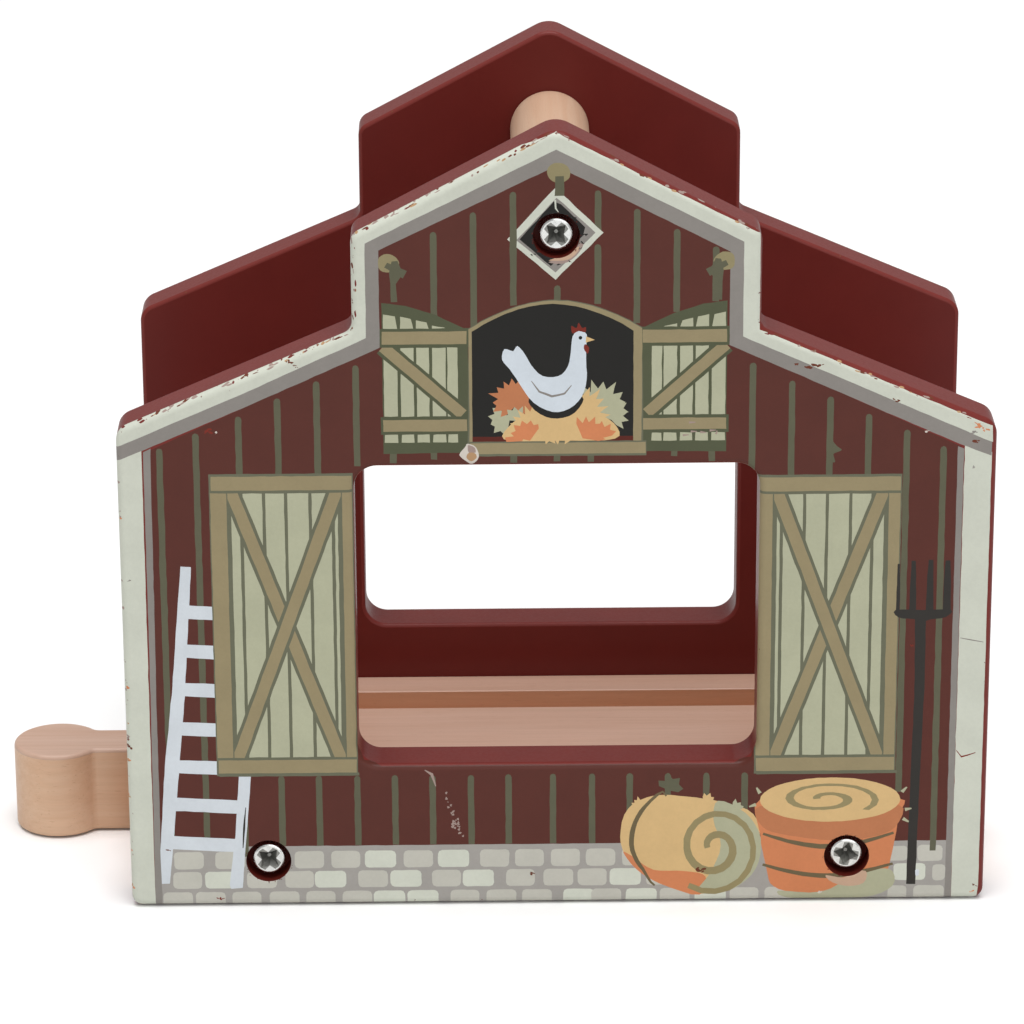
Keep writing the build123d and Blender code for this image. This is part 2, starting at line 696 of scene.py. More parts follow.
def mitred_rim(corners: Sequence[Point]) -> Rim:
    """A polygon's edge with sharp corners, whose rings keep their distance from it.

    Args:
        corners: anticlockwise corners.

    Returns:
        Its edge.
    """
    points, inward = [], []
    count = len(corners)
    for i, spot in enumerate(corners):
        here = Vector(spot)
        before = (here - Vector(corners[i - 1])).normalized()
        after = (Vector(corners[(i + 1) % count]) - here).normalized()
        first, last = Vector((-before.y, before.x)), Vector((-after.y, after.x))
        way = (first + last) / (1 + first.dot(last))
        points.append(spot)
        inward.append((way.x, way.y))
    return Rim(points, inward)


def round_hole(u: float, v: float, radius: float, steps: int = 48) -> Rim:
    """The edge of a drilled hole, from its middle, its radius and its parts."""
    ways = [(math.cos(t), math.sin(t)) for t in turns_of(steps)]
    return Rim([(u + a * radius, v + b * radius) for a, b in ways], ways)


def signed_area(loop: Sequence[Point]) -> float:
    """A polygon's area, positive where it runs anticlockwise."""
    return sum(a[0] * b[1] - b[0] * a[1] for a, b in zip(loop, [*loop[1:], loop[0]])) / 2


def planar_map(
    faces: Sequence[Sequence[Point]], rings: Sequence[Sequence[Point]] = ()
) -> tuple[np.ndarray, list[list[int]], list[list[int]], list[list[int]]]:
    """Cuts the plane into triangles along polygons and rings.

    Args:
        faces: polygons, which may overlap.
        rings: closed lines that only add edges.

    Returns:
        The points, the triangles, the polygons that cover each triangle, and the given points
        that each point stands for.
    """
    points, edges, loops = [], [], []
    for face in faces:
        first = len(points)
        run = list(face) if signed_area(face) > 0 else list(face)[::-1]
        points.extend(Vector(p) for p in run)
        loops.append(list(range(first, len(points))))
    for ring in rings:
        first = len(points)
        points.extend(Vector(p) for p in ring)
        edges.extend((first + i, first + (i + 1) % len(ring)) for i in range(len(ring)))
    spots, _, triangles, given, _, covers = delaunay_2d_cdt(points, edges, loops, 0, 1e-5)
    return np.array([tuple(s) for s in spots]), triangles, covers, given


@dataclass
class Skin:
    """One piece's points, faces and corner normals, gathered before its mesh is made."""

    points: list[Vector] = field(default_factory=list)
    wear: list[float] = field(default_factory=list)
    faces: list[Sequence[int]] = field(default_factory=list)
    finish: list[int] = field(default_factory=list)
    normals: list[Vector] = field(default_factory=list)

    def point(self, where: Sequence[float], wear: float = 0.0) -> int:
        """Adds a point.

        Args:
            where: its place.
            wear: how worn the paint is there, from 0 to 1.

        Returns:
            Its number.
        """
        self.points.append(Vector(where))
        self.wear.append(wear)
        return len(self.points) - 1

    def face(
        self, corners: Sequence[int], normals: Sequence[Vector] | None = None, finish: int = 0
    ) -> None:
        """Adds a face.

        Args:
            corners: its points' numbers, anticlockwise from outside.
            normals: a normal for each corner, or none for a flat face.
            finish: the number of its finish.
        """
        if normals is None:
            a, b, c = (self.points[i] for i in corners[:3])
            flat = (b - a).cross(c - a)
            if len(corners) == 4:
                flat = (c - a).cross(self.points[corners[3]] - b)
            normals = [flat.normalized() if flat.length > 0 else Vector((0, 0, 1))] * len(corners)
        self.faces.append(corners)
        self.finish.append(finish)
        self.normals.extend(normals)

    def piece(
        self, name: str, finishes: Sequence[bpy.types.Material], basis: Matrix
    ) -> bpy.types.Object:
        """Makes the Blender object.

        Args:
            name: the piece's name.
            finishes: its materials.
            basis: turns the plate's own directions into the row's.

        Returns:
            The object, at the origin, with its place in its mesh.
        """
        mesh = bpy.data.meshes.new(name)
        mesh.from_pydata([basis @ p * MM for p in self.points], [], self.faces)
        for material in finishes:
            mesh.materials.append(material)
        mesh.polygons.foreach_set("material_index", self.finish)
        mesh.polygons.foreach_set("use_smooth", [True] * len(self.faces))
        mesh.attributes.new("edge_wear", "FLOAT", "POINT").data.foreach_set("value", self.wear)
        turned = basis.to_3x3()
        mesh.normals_split_custom_set([(turned @ n).normalized() for n in self.normals])
        mesh.update()
        thing = bpy.data.objects.new(name, mesh)
        bpy.context.scene.collection.objects.link(thing)
        return thing


@dataclass(frozen=True)
class Step:
    """One band of a plate's wall, from the ring above it to a ring of its own."""

    reach: float
    level: float
    lean_from: float = 0.0
    lean_to: float = 0.0
    wear: float = 0.0


def rounding(radius: float, level: float, rings: int = 5) -> list[Step]:
    """The bands that round a wall into the far face.

    Args:
        radius: of the rounding.
        level: of the far face.
        rings: how many bands.

    Returns:
        The bands, from the wall to the face.
    """
    bands = []
    for k in range(1, rings + 1):
        turn = k / rings * math.pi / 2
        bands.append(
            Step(
                radius * (1 - math.cos(turn)),
                level + radius * (1 - math.sin(turn)),
                90 * (k - 1) / rings,
                90 * k / rings,
                math.sin(2 * turn),
            )
        )
    return bands


@dataclass
class Edge:
    """How a plate's rim goes down from its face: a rounding, then bands to the far face."""

    rim: Rim
    radius: float
    steps: list[Step]
    wall: int = 0
    wear: float = 1.0


@dataclass
class Plate:
    """A plate whose near face is cut along printed shapes, with rounded edges.

    Wear is read at the rim, a little inside it, where the rounding ends and where it fades out.
    """

    skin: Skin
    edges: list[Edge]
    top: Callable[[float], float]
    rings: int = 5
    wear_reach: float = 1.3
    wear_crest: float = 0.3
    wear_levels: tuple[float, ...] = (0.7, 1.0, 0.35, 0.0)
    owner: dict[int, int] = field(default_factory=dict, init=False)
    inward: dict[int, np.ndarray] = field(default_factory=dict, init=False)

    def profile(self, radius: float) -> list[tuple[float, float]]:
        """Reach into the wood and depth at each ring of a rounding."""
        turns = [k / self.rings * math.pi / 2 for k in range(self.rings + 1)]
        return [(radius * (1 - math.cos(t)), radius * (1 - math.sin(t))) for t in turns]

    def face(
        self,
        shapes: Sequence[Sequence[Point]] = (),
        finish: Sequence[int] = (),
        lines: Sequence[Sequence[Point]] = (),
        flat_below: float | None = None,
    ) -> list[tuple[int, int]]:
        """Builds the near face.

        Args:
            shapes: printed polygons, the last on top.
            finish: each one's finish number.
            lines: closed lines that only add edges.
            flat_below: steps in the face deeper than this are shaded flat.

        Returns:
            The directed edges left open along the rims.
        """
        skin = self.skin
        cuts = [edge.rim.points for edge in self.edges]
        rings = [
            edge.rim.ring(reach)
            for edge in self.edges
            for reach, _ in self.profile(edge.radius)[1:]
        ]
        rings += [edge.rim.ring(self.wear_reach) for edge in self.edges if edge.wear > 0]
        spots, triangles, covers, _ = planar_map([*cuts, *shapes], [*rings, *lines])
        reads = [edge.rim.nearest(spots) for edge in self.edges]
        gaps = np.array([gap for gap, _ in reads])
        owner = gaps.argmin(0)
        numbers: dict[int, int] = {}
        normals: dict[int, Vector] = {}
        base: dict[int, float] = {}

        def made(i: int) -> int:
            """The skin's number for a point of the map."""
            if i in numbers:
                return numbers[i]
            edge = self.edges[owner[i]]
            gap = gaps[owner[i], i]
            table = self.profile(edge.radius)
            depth = float(np.interp(gap, [r for r, _ in table], [d for _, d in table]))
            u, v = spots[i]
            base[i] = self.top(v)
            lean = max(0.0, 1 - gap / edge.radius) if edge.radius > 0 else 0.0
            way = reads[owner[i]][1][i]
            normals[i] = Vector((-way[0] * lean, -way[1] * lean, math.sqrt(max(0.0, 1 - lean**2))))
            marks = (0, self.wear_crest * edge.radius, edge.radius + 0.01, self.wear_reach)
            wear = edge.wear * float(np.interp(gap, marks, self.wear_levels))
            numbers[i] = skin.point((u, v, base[i] - depth), wear)
            return numbers[i]

        solid = len(self.edges)
        open_edges: dict[tuple[int, int], None] = {}
        for corners, cover in zip(triangles, covers):
            if 0 not in cover or any(k in cover for k in range(1, solid)):
                continue
            tops = [k - solid for k in cover if k >= solid]
            ink = finish[max(tops)] if tops else 0
            run = [made(i) for i in corners]
            heights = [base[i] for i in corners]
            stepped = flat_below is not None and max(heights) - min(heights) > flat_below
            skin.face(run, None if stepped else [normals[i] for i in corners], ink)
            for a, b in zip(run, run[1:] + run[:1]):
                if (b, a) in open_edges:
                    del open_edges[(b, a)]
                else:
                    open_edges[(a, b)] = None
        self.owner = {numbers[i]: int(owner[i]) for i in numbers}
        self.inward = {numbers[i]: reads[owner[i]][1][i] for i in numbers}
        return list(open_edges)

    def close(self, open_edges: list[tuple[int, int]], back: int = 0) -> None:
        """Builds the walls and the far face.

        Args:
            open_edges: the near face's directed edges along the rims.
            back: the far face's finish number.
        """
        skin = self.skin
        follow = dict(open_edges)
        last: dict[int, int] = {}
        for number, edge in enumerate(self.edges):
            starts = [a for a in follow if self.owner[a] == number]
            upper = {a: a for a in starts}
            for step in edge.steps:
                lower = {}
                for a in starts:
                    p, way = skin.points[a], self.inward[a]
                    spot = (p.x + way[0] * step.reach, p.y + way[1] * step.reach, step.level)
                    lower[a] = skin.point(spot, step.wear * edge.wear)
                for a in starts:
                    b = follow[a]
                    bends = []
                    leans = (step.lean_from, step.lean_from, step.lean_to, step.lean_to)
                    for spot, lean in zip((b, a, a, b), map(math.radians, leans)):
                        way, c = self.inward[spot], math.cos(lean)
                        bends.append(Vector((-way[0] * c, -way[1] * c, -math.sin(lean))))
                    skin.face((upper[b], upper[a], lower[a], lower[b]), bends, edge.wall)
                upper = lower
            last.update(upper)
        loops, left = [], set(follow)
        while left:
            start = a = left.pop()
            loop = [a]
            while (a := follow[a]) != start:
                left.discard(a)
                loop.append(a)
            spots = [tuple(skin.points[last[b]].xy) for b in loop]
            loops.append(loop if signed_area(spots) > 0 else loop[::-1])
        outlines = [[tuple(skin.points[last[a]].xy) for a in loop] for loop in loops]
        flat = [last[a] for loop in loops for a in loop]
        _, triangles, covers, given = planar_map(outlines)
        outer = max(range(len(outlines)), key=lambda k: signed_area(outlines[k]))
        for corners, cover in zip(triangles, covers):
            if cover == [outer]:
                run = [flat[given[i][0]] for i in corners][::-1]
                skin.face(run, [Vector((0, 0, -1))] * 3, back)


# ---- The print


def smooth_loop(points: Sequence[Point], steps: int = 4) -> list[Point]:
    """A closed curve through points.

    Args:
        points: the curve's points in order.
        steps: parts between two of them.

    Returns:
        Points along the curve.
    """
    count, curve = len(points), []
    for i in range(count):
        p0, p1, p2, p3 = (Vector(points[(i + k) % count]) for k in (-1, 0, 1, 2))
        for k in range(steps):
            t = k / steps
            spot = (
                2 * p1
                + (p2 - p0) * t
                + (2 * p0 - 5 * p1 + 4 * p2 - p3) * t**2
                + (3 * p1 - p0 - 3 * p2 + p3) * t**3
            ) / 2
            curve.append((spot.x, spot.y))
    return curve


def oval(u: float, v: float, wide: float, high: float, steps: int = 28) -> list[Point]:
    """An ellipse from its middle and half sizes."""
    return [(u + wide * math.cos(t), v + high * math.sin(t)) for t in turns_of(steps)]


def arch(left: float, span: float, spring: float, rise: float, parts: int = 14) -> list[Point]:
    """A shallow arch.

    Args:
        left: its left end.
        span: how far its right end is from there.
        spring: the height of both ends.
        rise: how far its crown is above them.
        parts: its parts.

    Returns:
        Points from its right end to its left one.
    """
    return [
        (left + span * k / parts, spring + rise * math.sin(math.pi * k / parts) ** 0.9)
        for k in range(parts, -1, -1)
    ]


@dataclass
class BarnPrint:
    """The printed barn front, as inked shapes in the panel's plane, the last on top."""

    shapes: list[Shape] = field(default_factory=list)
    seed: int = PRINT_SEEDS["front"]
    wobble: float = 0.055
    part_length: float = 1.3
    coarse_scale: float = 0.8
    fine_scale: float = 3.1
    fine_share: float = 0.6
    shape_shift: float = 0.37
    batten_width: float = 0.83
    batten_wobble: float = 0.07

    def __post_init__(self) -> None:
        """Starts the seeded numbers that place small marks and let edges wander."""
        self.luck = random.Random(self.seed)
        noise.seed_set(self.seed)

    def fill(self, ink: Ink, loop: Sequence[Point], wobble: float | None = None) -> None:
        """Adds a shape with the slightly uneven edge of a screen print.

        Args:
            ink: its ink.
            loop: its corners in order.
            wobble: how far its edge wanders, or the print's own value.
        """
        amount = self.wobble if wobble is None else wobble
        edge = []
        for a, b in zip(loop, [*loop[1:], loop[0]]):
            a, b = Vector(a), Vector(b)
            parts = max(1, math.ceil((b - a).length / self.part_length))
            edge.extend(a.lerp(b, k / parts) for k in range(parts))
        shift = len(self.shapes) * self.shape_shift
        coarse, fine = self.coarse_scale, self.fine_scale
        moved = []
        for x, y in edge:
            push = noise.noise_vector((x * coarse, y * coarse, shift)) * amount
            nudge = noise.noise_vector((x * fine, y * fine, shift)) * amount * self.fine_share
            moved.append((x + push.x + nudge.x, y + push.y + nudge.y))
        self.shapes.append((ink, moved))

    def blob(self, ink: Ink, points: Sequence[Point], steps: int = 4) -> None:
        """Adds a smooth closed shape through points."""
        self.fill(ink, smooth_loop(points, steps))

    def box(
        self, ink: Ink, u0: float, v0: float, u1: float, v1: float, round_by: float = 0.0
    ) -> None:
        """Adds an upright rectangle.

        Args:
            ink: its ink.
            u0: its left edge.
            v0: its lower edge.
            u1: its right edge.
            v1: its upper edge.
            round_by: its corners' radius.
        """
        if round_by <= 0:
            self.fill(ink, [(u0, v0), (u1, v0), (u1, v1), (u0, v1)])
            return
        left, low, right, high = u0 + round_by, v0 + round_by, u1 - round_by, v1 - round_by
        corners = ((right, low, -90), (right, high, 0), (left, high, 90), (left, low, 180))
        self.fill(ink, [
            spoke(u, v, round_by, math.radians(turn + part))
            for u, v, turn in corners
            for part in (0, 45, 90)
        ])

    def ribbon(self, line: Sequence[Point], width: float | Sequence[float]) -> list[Point]:
        """The outline of a line of a width.

        Args:
            line: the points of its middle.
            width: one width, or one for each point.

        Returns:
            Its corners.
        """
        widths = [width] * len(line) if isinstance(width, (int, float)) else list(width)
        left, right = [], []
        for i, (spot, w) in enumerate(zip(line, widths)):
            here = Vector(spot)
            ahead = Vector(line[min(i + 1, len(line) - 1)]) - Vector(line[max(i - 1, 0)])
            side = Vector((-ahead.y, ahead.x)).normalized() * w / 2
            left.append(tuple(here + side))
            right.append(tuple(here - side))
        return right + left[::-1]

    def band(self, ink: Ink, line: Sequence[Point], width: float | Sequence[float]) -> None:
        """Adds a line of a width, or of a width for each point."""
        self.fill(ink, self.ribbon(line, width))

    def batten(self, u: float, low: float, high: float) -> None:
        """Adds a cover batten with a rounded top.

        Args:
            u: its middle.
            low: its lower end.
            high: its upper end.
        """
        r = self.batten_width / 2
        top = [spoke(u, high - r, r, turn) for turn in (0.8, 1.57, 2.34)]
        loop = [(u - r, low), (u + r, low), (u + r, high - r), *top, (u - r, high - r)]
        self.fill(Ink.BATTEN, loop, self.batten_wobble)

    def coil(
        self,
        ink: Ink,
        middle: Point,
        wide: float,
        high: float,
        turns: float,
        width: float,
        start: float,
    ) -> None:
        """Adds a spiral.

        Args:
            ink: its ink.
            middle: its middle.
            wide: its half width at the outer end.
            high: its half height at the outer end.
            turns: how often it goes round.
            width: of its line.
            start: its inner end's direction in radians.
        """
        count = max(8, round(turns * 20))
        line, widths = [], []
        for k in range(count + 1):
            part = k / count
            turn = start - 2 * math.pi * turns * part
            line.append(spoke(0, 0, wide * (0.16 + 0.84 * part), turn))
            widths.append(width * (0.55 + 0.45 * math.sin(math.pi * min(0.85, 0.15 + part))))
        loop = self.ribbon(line, widths)
        self.fill(ink, [(middle[0] + u, middle[1] + v * high / wide) for u, v in loop])

    def tuft(
        self, ink: Ink, u: float, v: float, reach: float, aim: float, spread: float, blades: int
    ) -> None:
        """Adds a fan of straw blades.

        Args:
            ink: its ink.
            u: its root across.
            v: its root upwards.
            reach: the blades' length.
            aim: the fan's direction in degrees.
            spread: its opening in degrees.
            blades: how many blades.
        """
        tips, dips = (0.86, 1.08), (0.62, 0.76)
        loop = []
        for k in range(blades * 2 + 1):
            turn = math.radians(aim + spread * (k / (blades * 2) - 0.5))
            loop.append(spoke(u, v, reach * self.luck.uniform(*(tips if k % 2 else dips)), turn))
        self.fill(ink, [*loop, spoke(u, v, reach * 0.2, math.radians(aim + 180))])

    def flake(self, ink: Ink, u: float, v: float, size: float, count: int = 5) -> None:
        """Adds a chip made of small ragged flakes.

        Args:
            ink: what shows in it.
            u: its middle across.
            v: its middle upwards.
            size: its half width.
            count: how many flakes.
        """
        for k in range(count):
            a = u + size * self.luck.uniform(-0.8, 0.8)
            b = v + size * self.luck.uniform(-0.5, 0.5)
            wide, high = size * self.luck.uniform(0.25, 0.7), size * self.luck.uniform(0.12, 0.36)
            tilt = self.luck.uniform(-0.6, 0.6)
            c, d = math.cos(tilt), math.sin(tilt)
            loop = []
            for turn in turns_of(7):
                r = self.luck.uniform(0.65, 1.2)
                x, y = wide * r * math.cos(turn), high * r * math.sin(turn)
                loop.append((a + x * c - y * d, b + x * d + y * c))
            self.fill(ink, loop, 0.03)

    def strokes(
        self, ink: Ink, marks: Sequence[tuple[float, ...]], reach: Point, width: Point
    ) -> None:
        """Adds short tapered strokes.

        Args:
            ink: their ink.
            marks: where each one starts, and its direction in degrees.
            reach: their length across and upwards.
            width: of their start and their end.
        """
        for u, v, aim in marks:
            turn = math.radians(aim)
            end = (u + reach[0] * math.cos(turn), v + reach[1] * math.sin(turn))
            self.band(ink, [(u, v), end], width)

    def siding(self) -> None:
        """Adds the edge red with its painted highlight under everything, then the printed siding
        and its battens.
        """
        # The whole plane starts in edge red, a painted highlight that stays on the roundings where
        # no print covers it
        self.fill(Ink.EDGE, [(-60, -5), (60, -5), (60, 110), (-60, 110)], 0.0)
        # The siding's colour is the print's own with a painted varnish reflection mixed in
        self.fill(Ink.SIDING_WITH_REFLECTION, [
            (-52.4, -1.0), (51.4, -1.0), (51.4, 63.2), (22.4, 77.0), (22.4, 89.8), (0.0, 101.2),
            (-22.9, 90.0), (-22.9, 77.0), (-52.4, 63.2),
        ])
        # The window's rounding keeps the edge red as a painted highlight
        self.box(Ink.EDGE, -26.12, 19.6, 26.12, 61.25, 3.2)
        for u, low, high in (
            (-50.5, 8.5, 63.8), (-45.85, 8.5, 65.8), (-40.4, 60.0, 68.0), (-35.4, 60.0, 70.4),
            (-30.4, 60.0, 72.6), (-25.4, 61.2, 74.7), (-15.4, 81.0, 92.2), (-10.4, 79.6, 94.7),
            (-5.4, 82.4, 97.3), (0.1, 82.8, 85.1), (5.2, 82.6, 90.4), (5.2, 92.0, 97.4),
            (10.1, 80.0, 95.0), (15.1, 81.4, 92.3), (20.0, 82.8, 90.0), (24.8, 59.4, 74.6),
            (29.8, 59.4, 72.2), (34.7, 59.4, 70.0), (39.6, 59.4, 67.7), (44.5, 15.4, 65.5),
            (49.2, 7.0, 63.2),
        ):
            self.batten(u, low, high)
        for u in (
            -40.9, -36.0, -31.1, -26.1, -21.2, -16.3, -11.3, -6.4, -0.6, 4.5, 9.4, 14.4, 19.4, 24.4,
        ):
            self.batten(u, 8.5, 18.4)
        for u, low in (
            (-20.8, 61.5), (-15.6, 62.0), (-5.5, 61.4), (0.0, 61.6), (4.3, 61.5), (14.9, 62.2),
            (19.7, 61.4),
        ):
            self.batten(u, low, 63.4)
        self.blob(Ink.BATTEN, [
            (34.4, 64.6), (35.6, 63.4), (36.2, 62.8), (35.2, 62.3), (35.4, 61.2), (34.4, 61.6),
        ])
        self.tuft(Ink.BATTEN, 14.6, 16.3, 1.8, 70, 200, 4)

    def roof_trim(self) -> None:
        """Adds the white roof boards, their shaded undersides and the corner boards."""
        self.fill(Ink.TRIM, [
            (-57.0, -1.0), (-52.9, -1.0), (-52.85, 30.0), (-52.75, 64.4), (-57.0, 62.7),
        ])
        self.fill(Ink.TRIM_SHADE, [
            (-52.9, -1.0), (-52.0, -1.0), (-51.9, 30.0), (-51.6, 63.8), (-52.55, 63.3),
            (-52.65, 30.0),
        ])
        self.fill(Ink.TRIM_SHADE, [
            (50.9, -1.0), (51.75, -1.0), (51.8, 62.9), (51.0, 63.2), (50.95, 30.0),
        ])
        self.fill(Ink.TRIM, [(51.75, -1.0), (55.0, -1.0), (55.3, 2.0), (55.35, 62.4), (51.9, 64.0)])
        self.fill(Ink.TRIM_SHADE, [
            (-57.0, 61.7), (-55.7, 62.2), (-40.0, 69.0), (-22.3, 77.0), (-22.3, 89.8), (0.0, 100.6),
            (21.8, 89.3), (21.8, 77.0), (51.3, 63.5), (55.3, 61.9), (55.4, 64.6), (23.7, 78.6),
            (23.7, 91.0), (0.0, 103.2), (-24.2, 91.0), (-24.2, 78.6), (-40.0, 71.2), (-57.0, 63.9),
        ])
        self.fill(Ink.TRIM, [
            (-57.0, 63.5), (-40.0, 70.9), (-24.0, 78.3), (-24.0, 90.7), (0.0, 102.7), (23.5, 90.6),
            (23.5, 78.1), (55.45, 63.7), (55.35, 65.85), (25.6, 79.0), (25.6, 91.55), (0.0, 104.85),
            (-12.0, 100.0), (-27.0, 93.0), (-27.0, 79.2), (-40.0, 74.0), (-53.0, 68.2),
            (-57.0, 67.0),
        ])

    def stone_base(self) -> None:
        """Adds the coursed stones along the foot."""
        self.box(Ink.GROUT, -52.2, -1.0, 51.0, 8.45)
        courses = (
            (5.25, 7.7, (
                -50.3, -44.9, -39.5, -34.5, -29.7, -25.3, -20.2, -15.7, -10.2, -5.6, -0.9, 3.7, 8.4,
                13.0,
            )),
            (2.45, 4.85, (
                -50.5, -46.3, -40.8, -35.8, -31.9, -26.2, -22.0, -16.5, -12.5, -6.8, -1.9, 2.6, 6.8,
                11.6,
            )),
            (-0.6, 1.95, (
                -51.9, -47.6, -42.8, -37.9, -33.1, -28.3, -24.2, -19.8, -14.1, -9.4, -4.7, 0.7, 4.4,
                8.9, 13.4, 18.0, 22.6, 27.2,
            )),
        )
        pale_stones = {-46.3, -31.9, -25.3, -24.2, -22.0, -19.8, -15.7, -12.5, 0.7, 6.8, 8.9, 18.0}
        for low, high, starts in courses:
            for start in starts:
                pale = start in pale_stones
                wide = 4.1 if pale else self.luck.uniform(3.75, 3.95)
                ink = Ink.STONE_PALE if pale else Ink.STONE
                self.box(ink, start, low, start + wide, high, 0.55)
        for u0, v0, u1, v1, ink in (
            (42.6, 5.6, 45.9, 7.7, Ink.STONE), (47.2, 5.5, 50.5, 7.8, Ink.STONE),
            (44.1, 2.8, 48.3, 5.2, Ink.STONE_PALE), (49.2, 2.7, 50.9, 5.0, Ink.STONE),
            (43.4, -0.6, 45.9, 2.0, Ink.STONE), (46.8, -0.6, 50.8, 2.0, Ink.STONE),
        ):
            self.box(ink, u0, v0, u1, v1, 0.5)
        # Two battens run on over the top course
        for u in (-40.9, 49.2):
            self.batten(u, 7.0, 9.2)

    def door(
        self,
        left: float,
        right: float,
        low: float,
        high: float,
        joints: Sequence[float],
        rising: bool,
    ) -> None:
        """Adds a boarded door with a cross brace.

        Args:
            left: its left edge.
            right: its right edge.
            low: its lower edge.
            high: its upper edge.
            joints: the lines between its boards and beside its stiles.
            rising: whether the brace on top rises to the right.
        """
        rail, brace, brace_joint = 1.85, 1.5, 2.35
        self.box(Ink.JOINT, left, low, right, high)
        for u0, u1 in zip(joints, joints[1:]):
            self.box(Ink.BOARD, u0 + 0.22, low + rail + 0.75, u1 - 0.2, high - rail - 0.75)
        first, last = joints[0] - 0.2, joints[-1] + 0.25
        bottom, top = low + rail + 0.6, high - rail - 0.6
        down = Vector((first + 0.5, top)), Vector((last - 0.6, bottom))
        up = Vector((first + 0.5, bottom)), Vector((last - 0.6, top))
        for start, end in (down, up) if rising else (up, down):
            stub = (end - start).normalized() * 0.6
            ends = [start - stub, end + stub]
            self.band(Ink.JOINT, ends, brace_joint)
            self.band(Ink.FRAME, ends, brace)
        for u0, u1 in ((left, first), (last, right)):
            self.box(Ink.JOINT, u0, low + 0.3, u1, high - 0.3)
            self.box(Ink.FRAME, u0 + 0.15, low + rail, u1 - 0.15, high - rail)
        for v0, v1 in ((low + 0.35, low + rail + 0.35), (high - rail - 0.35, high - 0.3)):
            self.box(Ink.JOINT, left, v0 - 0.35, right, v1 + 0.35)
            self.box(Ink.FRAME, left + 0.25, v0, right - 0.15, v1)
        self.box(Ink.JOINT, left + 0.3, low - 0.1, right + 0.2, low + 0.3)

    def shutter(self, hinge: float, free: float) -> None:
        """Adds an open loft shutter with an arched head.

        Args:
            hinge: the edge at the loft's frame.
            free: the outer edge.
        """
        way = 1 if free > hinge else -1
        wide = abs(free - hinge)

        def spot(part: float, v: float) -> Point:
            """A point a distance out from the hinge."""
            return hinge + way * part, v

        self.fill(Ink.SHUTTER, [
            spot(-0.1, 62.9), spot(wide, 62.8), spot(wide, 82.9), spot(wide * 0.72, 82.5),
            spot(wide * 0.38, 81.3), spot(0.0, 79.3),
        ])
        strips = (
            (1.9, 0.15, 81.4), (3.95, 2.3, 81.1), (5.9, 4.3, 80.6), (8.0, 6.3, 79.9),
            (9.5, 8.2, None),
        )
        for outer, inner, head in strips:
            a, b = wide - outer, wide - inner
            if head:
                loop = [spot(a, 79.5), spot(b, 79.5), spot(b, head), spot(a + 0.25, head - 0.3)]
                self.fill(Ink.BOARD, loop)
            self.fill(Ink.BOARD, [spot(a, 67.8), spot(b, 67.8), spot(b, 76.95), spot(a, 76.95)])
            if head or wide > 10.5:
                foot = [spot(a, 64.3), spot(b, 64.3), spot(b - 0.05, 65.35), spot(a + 0.05, 65.4)]
                self.fill(Ink.BOARD, foot)
        brace = [spot(wide - 0.1, 77.1), spot(0.7, 68.0)]
        self.band(Ink.SHUTTER, brace, 2.3)
        self.band(Ink.FRAME, brace, 1.45)
        for low, high in ((77.4, 79.1), (65.8, 67.35)):
            for ink, inner, outer, lip in (
                (Ink.SHUTTER, -0.1, wide + 0.3, 0.4), (Ink.FRAME, 0.15, wide, 0.0),
            ):
                left, right = sorted((spot(inner, 0)[0], spot(outer, 0)[0]))
                self.box(ink, left, low - lip, right, high + lip)

    def loft(self) -> None:
        """Adds the loft opening, its arch, its sill and its shutters."""
        self.shutter(-11.2, -22.0)
        self.shutter(10.7, 21.5)
        head = arch(-11.1, 21.9, 79.3, 3.75)
        self.fill(Ink.JOINT, [(-11.3, 63.0), (11.0, 63.0), *((u, v + 0.12) for u, v in head)])
        self.fill(Ink.FRAME, [(-11.05, 63.4), (10.75, 63.4), *head])
        self.fill(Ink.LOFT, [(-10.7, 64.6), (9.7, 64.6), *arch(-10.7, 20.4, 79.0, 3.6)])
        self.box(Ink.SILL_GLOW, -10.7, 64.2, 9.7, 65.0)
        self.box(Ink.JOINT, -11.2, 62.35, 11.4, 64.35)
        self.box(Ink.FRAME, -11.0, 62.65, 11.3, 64.15)

    def nest(self) -> None:
        """Adds the straw in the loft."""
        for ink, u, v, reach, aim, spread, blades in (
            (Ink.STRAW_PALE, 5.4, 68.6, 4.0, 60, 200, 9),
            (Ink.STRAW_PALE, 6.9, 67.8, 2.4, 10, 150, 5),
            (Ink.STRAW_PALE, -6.4, 67.4, 2.4, 200, 150, 5),
            (Ink.STRAW_SHADE, -5.4, 69.9, 3.1, 130, 230, 10),
            (Ink.STRAW_SHADE, -3.4, 68.6, 2.6, 100, 200, 7),
            (Ink.STRAW_PALE, -5.0, 67.4, 1.7, 120, 140, 4),
            (Ink.STRAW, 2.6, 67.6, 4.4, 60, 130, 8),
            (Ink.STRAW, -3.0, 66.2, 3.0, 140, 120, 6),
        ):
            self.tuft(ink, u, v, reach, aim, spread, blades)
        self.blob(Ink.STRAW, [
            (-6.7, 64.6), (0.0, 64.4), (7.4, 64.6), (7.2, 66.7), (3.8, 68.6), (0.0, 68.0),
            (-2.6, 68.4), (-5.4, 67.0),
        ])
        self.tuft(Ink.STRAW_DEEP, -3.6, 64.9, 2.5, 110, 140, 5)
        self.tuft(Ink.STRAW_DEEP, 3.6, 65.1, 2.6, 50, 150, 6)
        self.tuft(Ink.STRAW_DEEP, 5.6, 65.0, 2.0, 70, 140, 4)
        for u, aim in ((-1.3, 70), (0.1, 100), (1.2, 60), (-0.4, 130)):
            self.tuft(Ink.STRAW, u, 64.3, 2.0, aim, 70, 3)
        self.fill(Ink.STRAW_DEEP, [(-6.6, 64.9), (-4.0, 65.2), (-4.4, 64.4), (-6.4, 64.3)])

